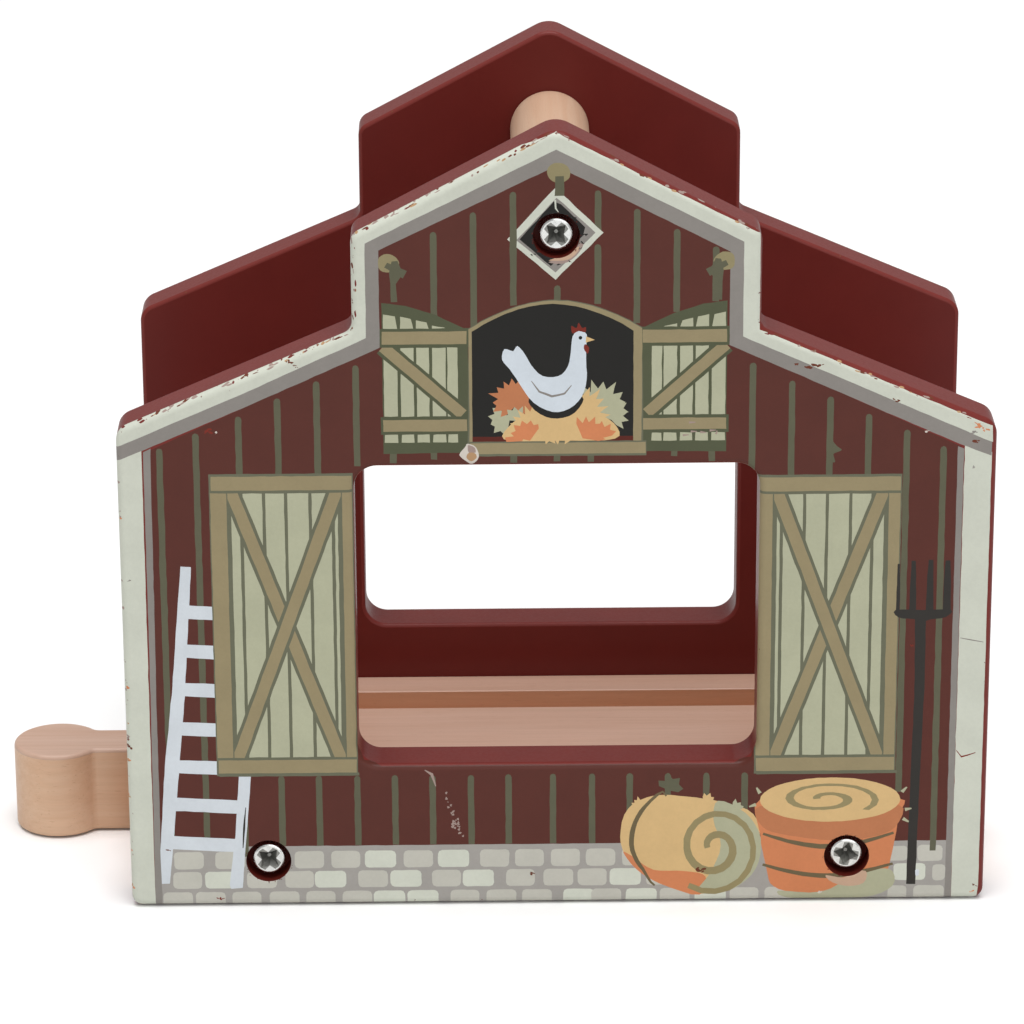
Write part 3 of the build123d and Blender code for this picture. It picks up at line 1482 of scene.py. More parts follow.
    def hen(self) -> None:
        """Adds a plain sitting hen of no particular breed."""
        self.blob(Ink.LOFT, [
            (-3.6, 69.6), (-1.4, 67.6), (1.6, 67.7), (3.4, 69.9), (1.6, 71.0), (-2.0, 71.0),
        ])
        self.blob(Ink.HEN, [
            (-6.9, 75.3), (-6.6, 76.7), (-5.5, 76.4), (-5.0, 77.1), (-4.0, 76.0), (-3.2, 74.5),
            (-1.8, 73.1), (0.2, 73.0), (1.4, 74.3), (1.8, 76.3), (2.0, 78.3), (2.9, 79.1),
            (3.8, 78.5), (3.75, 77.0), (3.7, 75.0), (3.8, 72.6), (3.2, 70.3), (1.6, 68.7),
            (-0.6, 68.3), (-2.9, 69.5), (-4.6, 71.9), (-5.9, 74.0),
        ], 3)
        self.blob(Ink.COMB, [
            (2.0, 78.7), (1.9, 79.7), (2.5, 79.4), (2.8, 80.1), (3.2, 79.4), (3.7, 79.5),
            (3.6, 78.8), (2.8, 79.0),
        ], 3)
        self.fill(Ink.STRAW, [(3.75, 78.3), (4.8, 77.8), (3.7, 77.5)])
        self.blob(Ink.COMB, [(3.6, 77.3), (4.1, 76.8), (3.9, 76.0), (3.4, 76.7)], 3)
        self.fill(Ink.LOFT, oval(3.0, 78.1, 0.24, 0.26, 8))
        self.band(Ink.TRIM_SHADE, [
            (-3.2, 72.4), (-2.2, 71.0), (-0.6, 70.3), (1.0, 70.7), (1.9, 71.8),
        ], [0.1, 0.25, 0.3, 0.25, 0.1])

    def gable(self) -> None:
        """Adds the diamond window round the top screw, and the three lamps."""
        self.fill(Ink.TRIM, [(-6.15, 91.1), (-0.1, 97.8), (5.85, 91.9), (-0.1, 85.8)], 0.08)
        self.fill(Ink.TRIM_SHADE, [(-5.0, 91.0), (0.05, 96.5), (4.9, 91.9), (-0.1, 86.75)])
        self.fill(Ink.LOFT, [
            (-4.6, 91.1), (-0.3, 96.0), (0.6, 95.6), (3.6, 92.6), (3.3, 91.5), (-0.7, 87.6),
        ])
        self.band(Ink.TRIM, [(-0.1, 96.2), (-0.1, 95.1), (0.3, 94.6)], [0.2, 0.2, 0.08])
        self.blob(Ink.SCRATCH, [
            (-1.0, 88.1), (0.8, 87.9), (2.5, 88.9), (3.4, 90.4), (2.9, 90.5), (1.9, 89.4),
            (0.6, 88.6),
        ], 3)
        self.blob(Ink.PINK, [
            (-1.0, 88.3), (0.9, 88.3), (2.2, 88.9), (2.9, 89.9), (2.6, 90.0), (1.5, 89.2),
            (0.4, 88.7),
        ], 3)
        for u, v, size in (
            (3.5, 91.7, 0.34), (3.2, 90.6, 0.3), (3.0, 89.9, 0.22), (0.3, 87.9, 0.3),
            (1.7, 88.2, 0.24), (-2.9, 89.1, 0.3), (2.4, 93.9, 0.2),
        ):
            self.flake(Ink.LOFT, u, v, size)
        self.batten(-5.4, 89.0, 93.6)
        self.blob(Ink.LAMP, [
            (-1.15, 99.9), (-0.7, 98.8), (0.4, 98.4), (1.5, 98.9), (1.75, 99.9), (1.2, 100.7),
            (0.2, 101.0), (-0.7, 100.7),
        ])
        self.band(Ink.BATTEN, [(0.4, 96.7), (0.4, 98.2), (0.4, 99.3)], [1.2, 1.15, 1.05])
        for side in (-1, 1):
            u = side * 20.6
            self.blob(Ink.LAMP, [
                (u + side * 1.6, 88.9), (u + side * 0.2, 89.3), (u - side * 0.9, 88.2),
                (u - side * 0.2, 87.0), (u + side * 1.5, 87.2),
            ])
            self.band(Ink.BATTEN, [
                (u - side * 0.2, 83.0), (u - side * 0.1, 85.4), (u - side * 0.5, 86.8),
                (u - side * 0.3, 88.4),
            ], [0.8, 0.7, 1.8, 0.7])
            self.band(Ink.BATTEN, [(u + side * 0.8, 87.9), (u - side * 1.6, 86.6)], [0.7, 1.1])

    def ladder(self) -> None:
        """Adds the leaning ladder, part of it behind the left door."""

        def rail(v: float) -> float:
            """Where its left rail is at a height."""
            return -52.2 + (v - 2.8) * 0.098

        for v in (42.35, 36.95, 31.6, 26.1, 20.75):
            rung = [(rail(v), v - 1.75), (-44.35, v - 2.05), (-44.35, v - 0.15), (rail(v), v + 0.1)]
            self.fill(Ink.LADDER, rung)
        for v in (15.6, 10.1):
            rung = [(rail(v), v - 1.9), (-41.4, v - 2.5), (-41.2, v - 0.6), (rail(v), v)]
            self.fill(Ink.LADDER, rung)
        self.fill(Ink.LADDER, [
            (-48.25, 47.75), (-49.9, 30.0), (-51.1, 20.0), (-52.05, 8.0), (-52.0, 3.2),
            (-50.95, 3.2), (-50.4, 8.0), (-49.2, 20.0), (-48.2, 30.0), (-46.9, 47.65),
        ])
        self.fill(Ink.LADDER, [
            (-41.5, 18.4), (-42.2, 10.0), (-43.1, 2.9), (-42.9, 2.4), (-41.4, 2.5), (-40.9, 8.0),
            (-39.95, 18.4),
        ])
        self.band(Ink.FORK, [(-40.75, 14.0), (-41.0, 11.0), (-41.25, 8.2)], [0.1, 0.3, 0.1])

    def hay_fork(self) -> None:
        """Adds the hay fork beside the right door."""
        self.band(Ink.FORK, [
            (46.8, 40.2), (46.9, 30.0), (46.6, 15.0), (46.4, 2.2),
        ], [1.4, 1.3, 1.2, 1.2])
        self.blob(Ink.FORK, [
            (43.55, 40.9), (43.9, 39.9), (46.0, 39.6), (47.0, 39.2), (48.2, 39.6), (50.1, 39.9),
            (50.7, 40.9), (47.0, 40.9),
        ], 3)
        for u, top, wide in (
            (43.85, 47.3, 0.35), (45.75, 47.7, 0.65), (47.95, 47.8, 0.7), (50.15, 47.7, 0.75),
        ):
            widths = [wide * 1.45, wide * 1.2, wide * 0.85]
            self.band(Ink.FORK, [(u, 40.3), (u, 44.5), (u, top)], widths)
        self.box(Ink.LADDER, 47.0, 3.4, 47.5, 4.3, 0.15)

    def bales(self) -> None:
        """Adds the two round bales, one on its side and one on end."""
        self.blob(Ink.STRAW, [
            (8.2, 9.4), (9.2, 13.4), (12.6, 15.2), (17.0, 15.0), (21.4, 14.2), (25.6, 12.4),
            (26.4, 8.0), (24.4, 3.0), (18.4, 1.0), (13.0, 3.0), (9.2, 6.2),
        ])
        self.blob(Ink.STRAW_DEEP, [
            (8.6, 7.2), (10.0, 6.4), (12.6, 4.6), (16.6, 4.4), (19.4, 3.6), (18.6, 0.9),
            (13.4, 2.6), (10.2, 4.8),
        ])
        self.blob(Ink.STRAW_PALE, [
            (21.0, 14.4), (24.6, 12.6), (26.6, 9.0), (26.0, 4.6), (22.8, 1.6), (18.4, 1.4),
            (20.0, 4.0), (21.4, 8.0), (20.4, 11.6),
        ])
        self.tuft(Ink.STRAW, 19.4, 14.0, 1.5, 70, 90, 3)
        self.tuft(Ink.STRAW, 10.8, 13.7, 1.4, 130, 80, 3)
        self.tuft(Ink.STRAW_PALE, 23.0, 13.1, 1.5, 50, 90, 3)
        tie = smooth_loop([
            (14.2, 15.1), (11.4, 13.6), (9.9, 10.6), (9.8, 7.4), (11.2, 4.6), (13.2, 2.9),
        ])[:20]
        self.band(Ink.TIE, tie, [0.25 + 0.4 * math.sin(math.pi * k / 19) for k in range(20)])
        self.coil(Ink.TWINE, (20.6, 7.7), 6.0, 6.6, 1.85, 1.0, 3.16)
        self.blob(Ink.STRAW_DEEP, [
            (26.4, 14.4), (26.5, 9.6), (27.4, 4.6), (28.4, 2.0), (32.0, 1.0), (36.6, 0.6),
            (40.8, 1.4), (43.0, 3.2), (44.0, 7.6), (44.6, 12.0), (44.8, 14.4), (35.6, 12.2),
        ])
        self.blob(Ink.STRAW_PALE, [
            (39.6, 3.8), (43.6, 4.4), (44.0, 2.0), (40.0, 0.2), (31.0, 0.2), (29.0, 1.4),
            (34.6, 1.2),
        ])
        self.blob(Ink.STRAW_SHADE, [
            (26.5, 13.6), (26.8, 10.6), (30.0, 9.4), (36.0, 8.6), (41.0, 9.0), (44.2, 10.4),
            (44.6, 13.6), (36.0, 11.6),
        ])
        for v, dip in ((9.6, 1.9), (5.2, 1.7)):
            line = [(26.9 + 17.1 * k / 16, v - dip * math.sin(math.pi * k / 16)) for k in range(17)]
            self.band(Ink.TIE, line, [0.35 + 0.35 * math.sin(math.pi * k / 16) for k in range(17)])
        self.blob(Ink.PINK, [
            (35.2, 3.6), (36.2, 2.5), (38.2, 2.0), (40.2, 2.4), (40.6, 3.9), (39.6, 4.2),
            (37.6, 3.2),
        ], 3)
        self.fill(Ink.STRAW, oval(35.6, 14.4, 9.2, 3.15, 36))
        self.coil(Ink.TWINE, (35.0, 14.5), 6.9, 2.5, 1.6, 1.25, 3.07)
        ends = (
            (26.4, 15.4, 120), (45.0, 15.4, 50), (45.4, 12.9, 10), (45.2, 11.6, -30),
            (25.9, 13.8, 200),
        )
        self.strokes(Ink.STRAW_PALE, ends, (0.9, 0.9), (0.5, 0.2))

    def knocks(self) -> None:
        """Adds the chips, scratches and specks of a toy that has been played with."""
        self.blob(Ink.PRIMER, [
            (-12.4, 62.6), (-11.7, 63.6), (-11.3, 64.1), (-10.3, 63.6), (-9.9, 62.3), (-10.8, 61.3),
            (-11.6, 61.8),
        ], 3)
        self.blob(Ink.SCRATCH, [(-11.3, 63.9), (-10.5, 63.6), (-10.3, 62.9), (-11.2, 62.9)], 3)
        self.blob(Ink.BARE, [
            (-11.2, 62.9), (-10.4, 62.8), (-10.2, 62.2), (-10.9, 61.7), (-11.5, 62.2),
        ], 3)
        rubs = (
            (16.0, 65.0, 10), (17.0, 65.5, 0), (18.2, 65.4, -10), (19.4, 65.6, 5), (16.8, 66.7, 5),
            (20.2, 65.1, 80),
        )
        self.strokes(Ink.SCRATCH, rubs, (0.8, 0.5), (0.3, 0.1))
        for _ in range(22):
            spot = -55.75 + self.luck.gauss(0, 0.12), self.luck.uniform(2, 60)
            ink = self.luck.choice((Ink.BARE, Ink.SCRATCH, Ink.STRAW_DEEP))
            self.tuft(ink, *spot, self.luck.uniform(0.1, 0.3), self.luck.uniform(0, 360), 300, 3)
        self.band(Ink.SCRATCH, [(-17.3, 19.1), (-16.4, 18.5), (-15.9, 16.8)], [0.12, 0.4, 0.12])
        for u, v, count in ((-14.3, 14.7, 4), (-13.8, 13.6, 4), (-13.3, 11.2, 14), (-12.8, 9.6, 3)):
            for _ in range(count):
                spot = u + self.luck.gauss(0, 0.3), v + self.luck.gauss(0, 0.55)
                size, aim = self.luck.uniform(0.12, 0.28), self.luck.uniform(0, 360)
                self.tuft(Ink.SCRATCH, *spot, size, aim, 300, 3)
        for u, v, size, ink in (
            (-43.2, 65.9, 0.3, Ink.PRIMER), (-44.2, 66.1, 0.5, Ink.COMB),
            (-33.7, 75.2, 0.5, Ink.RUST), (-32.9, 74.6, 0.3, Ink.RUST), (32.0, 74.2, 0.8, Ink.RUST),
            (33.4, 74.3, 0.5, Ink.RUST), (30.2, 74.4, 0.3, Ink.RUST), (43.0, 69.4, 0.45, Ink.RUST),
            (47.1, 65.2, 0.4, Ink.PRIMER), (53.3, 63.7, 0.55, Ink.RUST),
            (53.1, 60.4, 0.25, Ink.TRIM_SHADE), (-54.9, 45.8, 0.25, Ink.TRIM_SHADE),
            (-55.7, 22.8, 0.6, Ink.RUST), (54.9, 2.0, 0.35, Ink.RUST),
            (54.5, 1.1, 0.25, Ink.STRAW_DEEP), (-51.0, 8.1, 0.3, Ink.RUST),
            (-3.3, 4.2, 0.4, Ink.RUST), (-44.4, 0.9, 0.5, Ink.COMB), (18.6, 4.6, 0.7, Ink.RUST),
            (53.6, 66.0, 0.6, Ink.STRAW_DEEP), (54.4, 65.4, 0.5, Ink.STRAW_DEEP),
            (53.0, 65.2, 0.5, Ink.TRIM_SHADE), (34.4, 1.2, 0.4, Ink.PRIMER),
            (45.8, 36.0, 0.25, Ink.COMB),
        ):
            self.flake(ink, u, v, size)
        self.band(Ink.TRIM_SHADE, [(52.0, 37.0), (53.4, 36.7), (55.0, 36.4)], [0.1, 0.16, 0.1])
        self.band(Ink.COMB, [(51.9, 21.2), (52.6, 20.3), (54.4, 20.9)], [0.1, 0.25, 0.12])
        for middle, level in SCREW_PLACES.values():
            for _ in range(16):
                turn = self.luck.uniform(0, 2 * math.pi)
                self.flake(Ink.DRILLED, *spoke(middle, level, 3.0, turn), 0.2, 2)
        self.roof_scuffs()

    def roof_scuffs(self) -> None:
        """Adds the ragged line of bared wood along the roof boards' outer edge."""
        runs = (
            ((-55.2, 66.6), (-26.2, 79.0), 46), ((-25.5, 92.0), (-1.0, 104.6), 42),
            ((1.0, 104.6), (25.4, 92.0), 26), ((25.7, 79.1), (55.0, 66.2), 26),
            ((-25.55, 80.0), (-25.55, 91.0), 9),
        )
        flake = ((-1, 0), (-0.4, -0.7), (0.5, -1), (1, 0.1), (0.3, 0.8), (-0.5, 1))
        inks = (Ink.RUST, Ink.BARE, Ink.EDGE, Ink.SCRATCH, Ink.SCRATCH)
        for start, end, count in runs:
            a, b = Vector(start), Vector(end)
            along = (b - a).normalized()
            side = Vector((along.y, -along.x))
            for _ in range(count):
                spot = a.lerp(b, self.luck.random()) + side * self.luck.uniform(-0.1, 0.35)
                long, deep = self.luck.uniform(0.12, 0.55), self.luck.uniform(0.05, 0.15)
                ink = self.luck.choice(inks)
                self.fill(ink, [spot + along * x * long + side * y * deep for x, y in flake])

    def draw(self) -> list[Shape]:
        """Draws everything from the wall forwards.

        Returns:
            The inked shapes.
        """
        self.siding()
        self.stone_base()
        self.roof_trim()
        self.ladder()
        left_joints = (-41.8, -40.3, -37.4, -34.6, -31.5, -28.6, -27.8)
        self.door(-44.35, -26.0, 18.5, 60.2, left_joints, rising=True)
        right_joints = (27.9, 28.7, 31.6, 34.5, 37.5, 40.3, 42.0)
        self.door(25.6, 44.0, 18.2, 59.5, right_joints, rising=False)
        self.loft()
        self.nest()
        self.hen()
        self.gable()
        self.hay_fork()
        self.bales()
        self.knocks()
        return self.shapes


# ---- The pieces


def facing_basis(facing: int, u: float, distance: float, v: float) -> Matrix:
    """Turns a panel's or a screw's own directions into the row's.

    Args:
        facing: -1 towards the front, 1 towards the back.
        u: its origin along the track.
        distance: its origin's distance from the track's middle.
        v: its origin's height.

    Returns:
        The matrix.
    """
    basis = Matrix(((-facing, 0, 0), (0, 0, facing), (0, 1, 0))).to_4x4()
    basis.translation = Vector((u, facing * distance, v))
    return basis


@dataclass
class Panel:
    """One painted barn panel with its window and three counterbored holes."""

    facing: int
    finishes: list[bpy.types.Material]
    width: float = PANEL_WIDTH
    thickness: float = 6.5
    eave: float = 66.2
    valley: float = 79.2
    tower: float = 51.6
    tower_eave: float = 91.7
    apex: float = 105.4
    corner_radii: tuple[float, ...] = (1.4, 2.4, 1.6, 1.8, 3.5)
    edge_radius: float = 0.9
    inner_radius: float = 0.5
    wall_band: float = 0.5
    window: tuple[float, float, float, float] = (-25.9, 19.8, 25.9, 61.0)
    window_radius: float = 3.0
    window_wear: float = 0.6
    bore: float = 2.95
    bore_depth: float = 3.2
    bore_ease: float = 0.12
    shank_hole: float = 1.6

    def rims(self) -> list[Edge]:
        """The outline, the window and the screw holes, with their edges.

        Returns:
            Each rim with the bands of its wall.
        """
        half, tower = self.width / 2, self.tower / 2
        spots = ((half, 0.0), (half, self.eave), (tower, self.valley), (tower, self.tower_eave))
        right = [(u, v, r) for (u, v), r in zip(spots, self.corner_radii)]
        left = [(-u, v, r) for u, v, r in right[::-1]]
        outline = [*right, (0.0, self.apex, self.corner_radii[-1]), *left]
        u0, v0, u1, v1 = self.window
        window = [(u, v, self.window_radius) for u, v in ((u0, v0), (u1, v0), (u1, v1), (u0, v1))]
        r = self.edge_radius
        wall = [
            Step(0.0, self.thickness - r - self.wall_band),
            Step(0.0, self.inner_radius + self.wall_band),
            Step(0.0, self.inner_radius, wear=0.4),
            *rounding(self.inner_radius, 0.0),
        ]
        # Walls take the edge red, lighter than the body as a painted highlight
        edges = [
            Edge(rounded_rim(outline), r, wall, Ink.EDGE.number),
            Edge(rounded_rim(window, hole=True), r, wall, Ink.EDGE.number, self.window_wear),
        ]
        seat, reach = self.thickness - self.bore_depth, self.shank_hole - self.bore
        bands = [Step(0.0, seat), Step(reach, seat, -90, -90), Step(reach, 0.0)]
        for u, v in SCREW_PLACES.values():
            rim = round_hole(u, v, self.bore)
            edges.append(Edge(rim, self.bore_ease, bands, Ink.DRILLED.number))
        return edges

    def build(self, name: str, shapes: Sequence[Shape]) -> bpy.types.Object:
        """Makes the panel with its print.

        Args:
            name: the piece's name.
            shapes: the printed shapes.

        Returns:
            The piece.
        """
        skin = Skin()
        plate = Plate(skin, self.rims(), lambda v: self.thickness)
        plate.close(plate.face([loop for _, loop in shapes], [ink.number for ink, _ in shapes]))
        return skin.piece(name, self.finishes, facing_basis(self.facing, 0, TRACK_WIDTH / 2, 0))


@dataclass
class TrackPiece:
    """The grooved beech track piece with its socket, and the peg on its left end."""

    finishes: list[bpy.types.Material]
    peg_finishes: list[bpy.types.Material]
    length: float = TRACK_LENGTH
    width: float = TRACK_WIDTH
    height: float = 12.0
    gauge: float = 26.0
    groove: float = 6.0
    groove_depth: float = 3.0
    groove_mouth: float = 0.12
    groove_lean: float = 0.03
    socket: float = 13.5
    socket_reach: float = 11.5
    slot: float = 8.2
    lead_in: float = 1.0
    edge_radius: float = 0.55
    peg: float = 12.0
    peg_reach: float = 11.5
    neck: float = 7.0
    neck_blend: float = 1.2
    neck_root: float = 1.5
    peg_radius: float = 0.55
    peg_inset: float = 0.03

    def groove_points(self) -> list[Point]:
        """Distances from the middle where the top's height changes, and the heights there.

        Returns:
            The points of one groove, outwards.
        """
        near, far = (self.gauge - self.groove) / 2, (self.gauge + self.groove) / 2
        lip, floor = self.height - self.groove_mouth, self.height - self.groove_depth
        return [
            (near - self.groove_mouth, self.height),
            (near, lip),
            (near + self.groove_lean, floor),
            (far - self.groove_lean, floor),
            (far, lip),
            (far + self.groove_mouth, self.height),
        ]

    def section(self, v: float) -> float:
        """The top's height across the track."""
        return float(np.interp(abs(v), *zip(*self.groove_points())))

    def body(self) -> bpy.types.Object:
        """Makes the grooved body.

        Returns:
            The piece.
        """
        end, side = self.length / 2, self.width / 2
        lip = self.slot / 2
        centre = end - self.socket_reach
        reach = self.socket / 2
        start = math.asin(lip / reach)
        arc = [start + (2 * math.pi - 2 * start) * k / 40 for k in range(41)]
        slot = [(end, -lip - self.lead_in), (end - self.lead_in, -lip)]
        slot += [spoke(centre, 0, reach, -t) for t in arc]
        slot += [(end - self.lead_in, lip), (end, lip + self.lead_in)]
        rim = mitred_rim([(-end, -side), (end, -side), *slot, (end, side), (-end, side)])
        r = self.edge_radius
        bands = [Step(0.0, r), *rounding(r, 0.0)]
        skin = Skin()
        plate = Plate(skin, [Edge(rim, r, bands)], self.section)

        def strip(low: float, wide: float) -> list[Point]:
            """A strip along the track that ends past both its ends."""
            high = low + wide
            return [(-end - 1, low), (end + 1, low), (end + 1, high), (-end - 1, high)]

        levels = [level for level, _ in self.groove_points()]
        marks = [strip(way * level, 1e-4) for level in levels for way in (-1, 1)]
        grooves = [strip(low, self.groove) for low in (-levels[4], levels[1])]
        # The grooves take the second finish, darker and oranger as painted shade and bounce light
        plate.close(plate.face(grooves, [1, 1], marks, flat_below=0.05))
        return skin.piece("track_body", self.finishes, Matrix.Identity(4))

    def peg_piece(self) -> bpy.types.Object:
        """Makes the peg and its neck.

        Returns:
            The piece.
        """
        end, lip, reach = self.length / 2, self.neck / 2, self.peg / 2
        centre = -end - self.peg_reach
        blend = self.neck_blend
        offset = lip + blend
        along = math.sqrt((reach + blend) ** 2 - offset**2)
        turn = math.atan2(offset, along)
        head = [turn + (2 * math.pi - 2 * turn) * k / 48 for k in range(49)]
        corners = [spoke(centre, 0, reach, -t) for t in head][::-1]
        sweep = math.pi / 2 - turn
        bends = [turn + math.pi + sweep * k / 6 for k in range(1, 7)]
        upper = [spoke(centre + along, offset, blend, bend) for bend in bends]
        lower = [(u, -v) for u, v in upper]
        root = -end + self.neck_root
        loop = [*corners, *lower, (root, -lip), (root, lip), *upper[::-1]]
        rim = mitred_rim(loop if signed_area(loop) > 0 else loop[::-1])
        r = self.peg_radius
        low, high = self.peg_inset, self.height - self.peg_inset
        skin = Skin()
        bands = [Step(0.0, low + r), *rounding(r, low)]
        # The top takes the first finish and the sides the second, painted darker and lighter copies
        # of one beech
        plate = Plate(skin, [Edge(rim, r, bands, wall=1)], lambda v: high)
        plate.close(plate.face())
        return skin.piece("track_peg", self.peg_finishes, Matrix.Identity(4))


def turned_piece(
    name: str, profile: Sequence[Point], basis: Matrix, finish: bpy.types.Material, steps: int
) -> bpy.types.Object:
    """Makes a turned piece.

    Args:
        name: the piece's name.
        profile: radius and height of each ring, from the lower end to the upper one.
        basis: turns the piece's own directions into the row's.
        finish: its material.
        steps: parts of each ring.

    Returns:
        The piece.
    """
    skin = Skin()
    rows = []
    for radius, height in profile:
        if radius == 0:
            rows.append([skin.point((0, 0, height))] * steps)
            continue
        ring = (spoke(0, 0, radius, turn) for turn in turns_of(steps))
        rows.append([skin.point((*spot, height)) for spot in ring])
    for low, high in zip(rows, rows[1:]):
        for k in range(steps):
            n = (k + 1) % steps
            corners = [low[k], low[n], high[n], high[k]]
            run = [c for i, c in enumerate(corners) if c not in corners[:i]]
            a, b, c = (skin.points[i] for i in run[:3])
            tilt = (b - a).cross(c - a).normalized()
            share = tilt.xy.length
            bends = []
            for i in run:
                out = skin.points[i].xy
                flat = out.normalized() if out.length > 0 else tilt.xy
                bends.append(Vector((flat.x * share, flat.y * share, tilt.z)))
            skin.face(run, bends)
    return skin.piece(name, [finish], basis)


@dataclass
class Dowel:
    """The ridge dowel between the panels."""

    finish: bpy.types.Material
    diameter: float = 10.6
    span: float = TRACK_WIDTH
    height: float = SCREW_PLACES["top"][1]
    end_ease: float = 0.35
    steps: int = 72

    def build(self) -> bpy.types.Object:
        """Makes the dowel.

        Returns:
            The piece.
        """
        r, half, ease = self.diameter / 2, self.span / 2, self.end_ease
        far_end = [(r, half - ease), (r - ease, half), (0, half)]
        profile = [*((reach, -height) for reach, height in far_end[::-1]), *far_end]
        basis = Matrix(((1, 0, 0), (0, 0, 1), (0, -1, 0))).to_4x4()
        basis.translation = Vector((0, 0, self.height))
        return turned_piece("ridge_dowel", profile, basis, self.finish, self.steps)


@dataclass
class Screw:
    """A cross-recess screw in its counterbore."""

    facing: int
    place: Point
    finishes: list[bpy.types.Material]
    turn: float
    seat: float = 25.05
    head: float = 4.25
    head_height: float = 2.4
    bevel: float = 0.3
    ease: float = 0.12
    shank: float = 2.6
    length: float = 16.0
    point_radius: float = 0.8
    point_length: float = 0.6
    cross: float = 3.35
    wing: float = 1.22
    recess: float = 1.3
    floor_span: float = 0.14
    floor_wing: float = 0.22
    arm_shoulder: float = 0.93
    arm_root: float = 1.1
    steps: int = 48

    def cross_loop(self, span: float, wing: float) -> list[Point]:
        """The recess outline at one depth.

        Args:
            span: from the end of one arm to the end of the opposite one.
            wing: the arms' width.

        Returns:
            Its corners.
        """
        s, w = span / 2, wing / 2
        shoulder, root = s * self.arm_shoulder, w * self.arm_root
        quarter = [(shoulder, -w), (s, 0.0), (shoulder, w), (root, root)]
        loop = []
        for k in range(4):
            turn = math.radians(self.turn + 90 * k)
            c, d = math.cos(turn), math.sin(turn)
            loop.extend((c * u - d * v, d * u + c * v) for u, v in quarter)
        return loop

    def build(self, name: str) -> bpy.types.Object:
        """Makes the screw with its recess.

        Args:
            name: the piece's name.

        Returns:
            The piece.
        """
        skin = Skin()
        turns = turns_of(self.steps)
        reach, crown, ease = self.head / 2, self.head_height, self.ease
        rim = oval(0, 0, reach - self.bevel, reach - self.bevel, self.steps)
        mouth = self.cross_loop(self.cross, self.wing)
        floor = self.cross_loop(self.cross * self.floor_span, self.wing * self.floor_wing)
        spots, triangles, covers, given = planar_map([rim, mouth, floor])
        first_of = {k: i for i, owners in enumerate(given) for k in owners}
        sunk = {first_of[len(rim) + len(mouth) + k] for k in range(len(floor))}
        levels = [crown - (self.recess if i in sunk else 0.0) for i in range(len(spots))]
        numbers = [skin.point((*spot, level)) for spot, level in zip(spots, levels)]
        # Faces inside the recess take the second finish, darker as painted shade
        for corners, cover in zip(triangles, covers):
            skin.face([numbers[i] for i in corners], finish=int(1 in cover))
        high = [numbers[first_of[k]] for k in range(self.steps)]
        rows = (
            (reach - ease, crown - ease, 25.0),
            (reach, crown - self.bevel, 65.0),
            (reach, ease, 90.0),
            (reach - ease, 0.0, 135.0),
            (self.shank / 2, 0.0, 180.0),
            (self.shank / 2, -self.length + self.point_length, 90.0),
            (self.point_radius, -self.length, 125.0),
        )
        for radius, level, lean in rows:
            low = [skin.point((*spoke(0, 0, radius, turn), level)) for turn in turns]
            c, d = math.sin(math.radians(lean)), math.cos(math.radians(lean))
            tilts = [Vector((*spoke(0, 0, c, turn), d)) for turn in turns]
            for k in range(self.steps):
                n = (k + 1) % self.steps
                bends = [tilts[k], tilts[k], tilts[n], tilts[n]]
                skin.face((high[k], low[k], low[n], high[n]), bends)
            high = low
        skin.face(high[::-1])
        u, v = self.place
        return skin.piece(name, self.finishes, facing_basis(self.facing, u, self.seat, v))


# ---- Camera, light and floor


@dataclass(frozen=True)
class SoftLamp:
    """A square area lamp that shines at the toy, placed in metres."""

    name: str
    where: tuple[float, float, float]
    size: float
    watts: float
    aim: tuple[float, float, float] = (0, 0, 0.05)

    def hang(self) -> None:
        """Hangs the lamp."""
        data = bpy.data.lights.new(self.name, "AREA")
        data.shape, data.size, data.energy = "SQUARE", self.size, self.watts
        lamp = bpy.data.objects.new(self.name, data)
        lamp.location = self.where
        way = Vector(self.aim) - Vector(self.where)
        lamp.rotation_euler = way.to_track_quat("-Z", "Y").to_euler()
        bpy.context.scene.collection.objects.link(lamp)


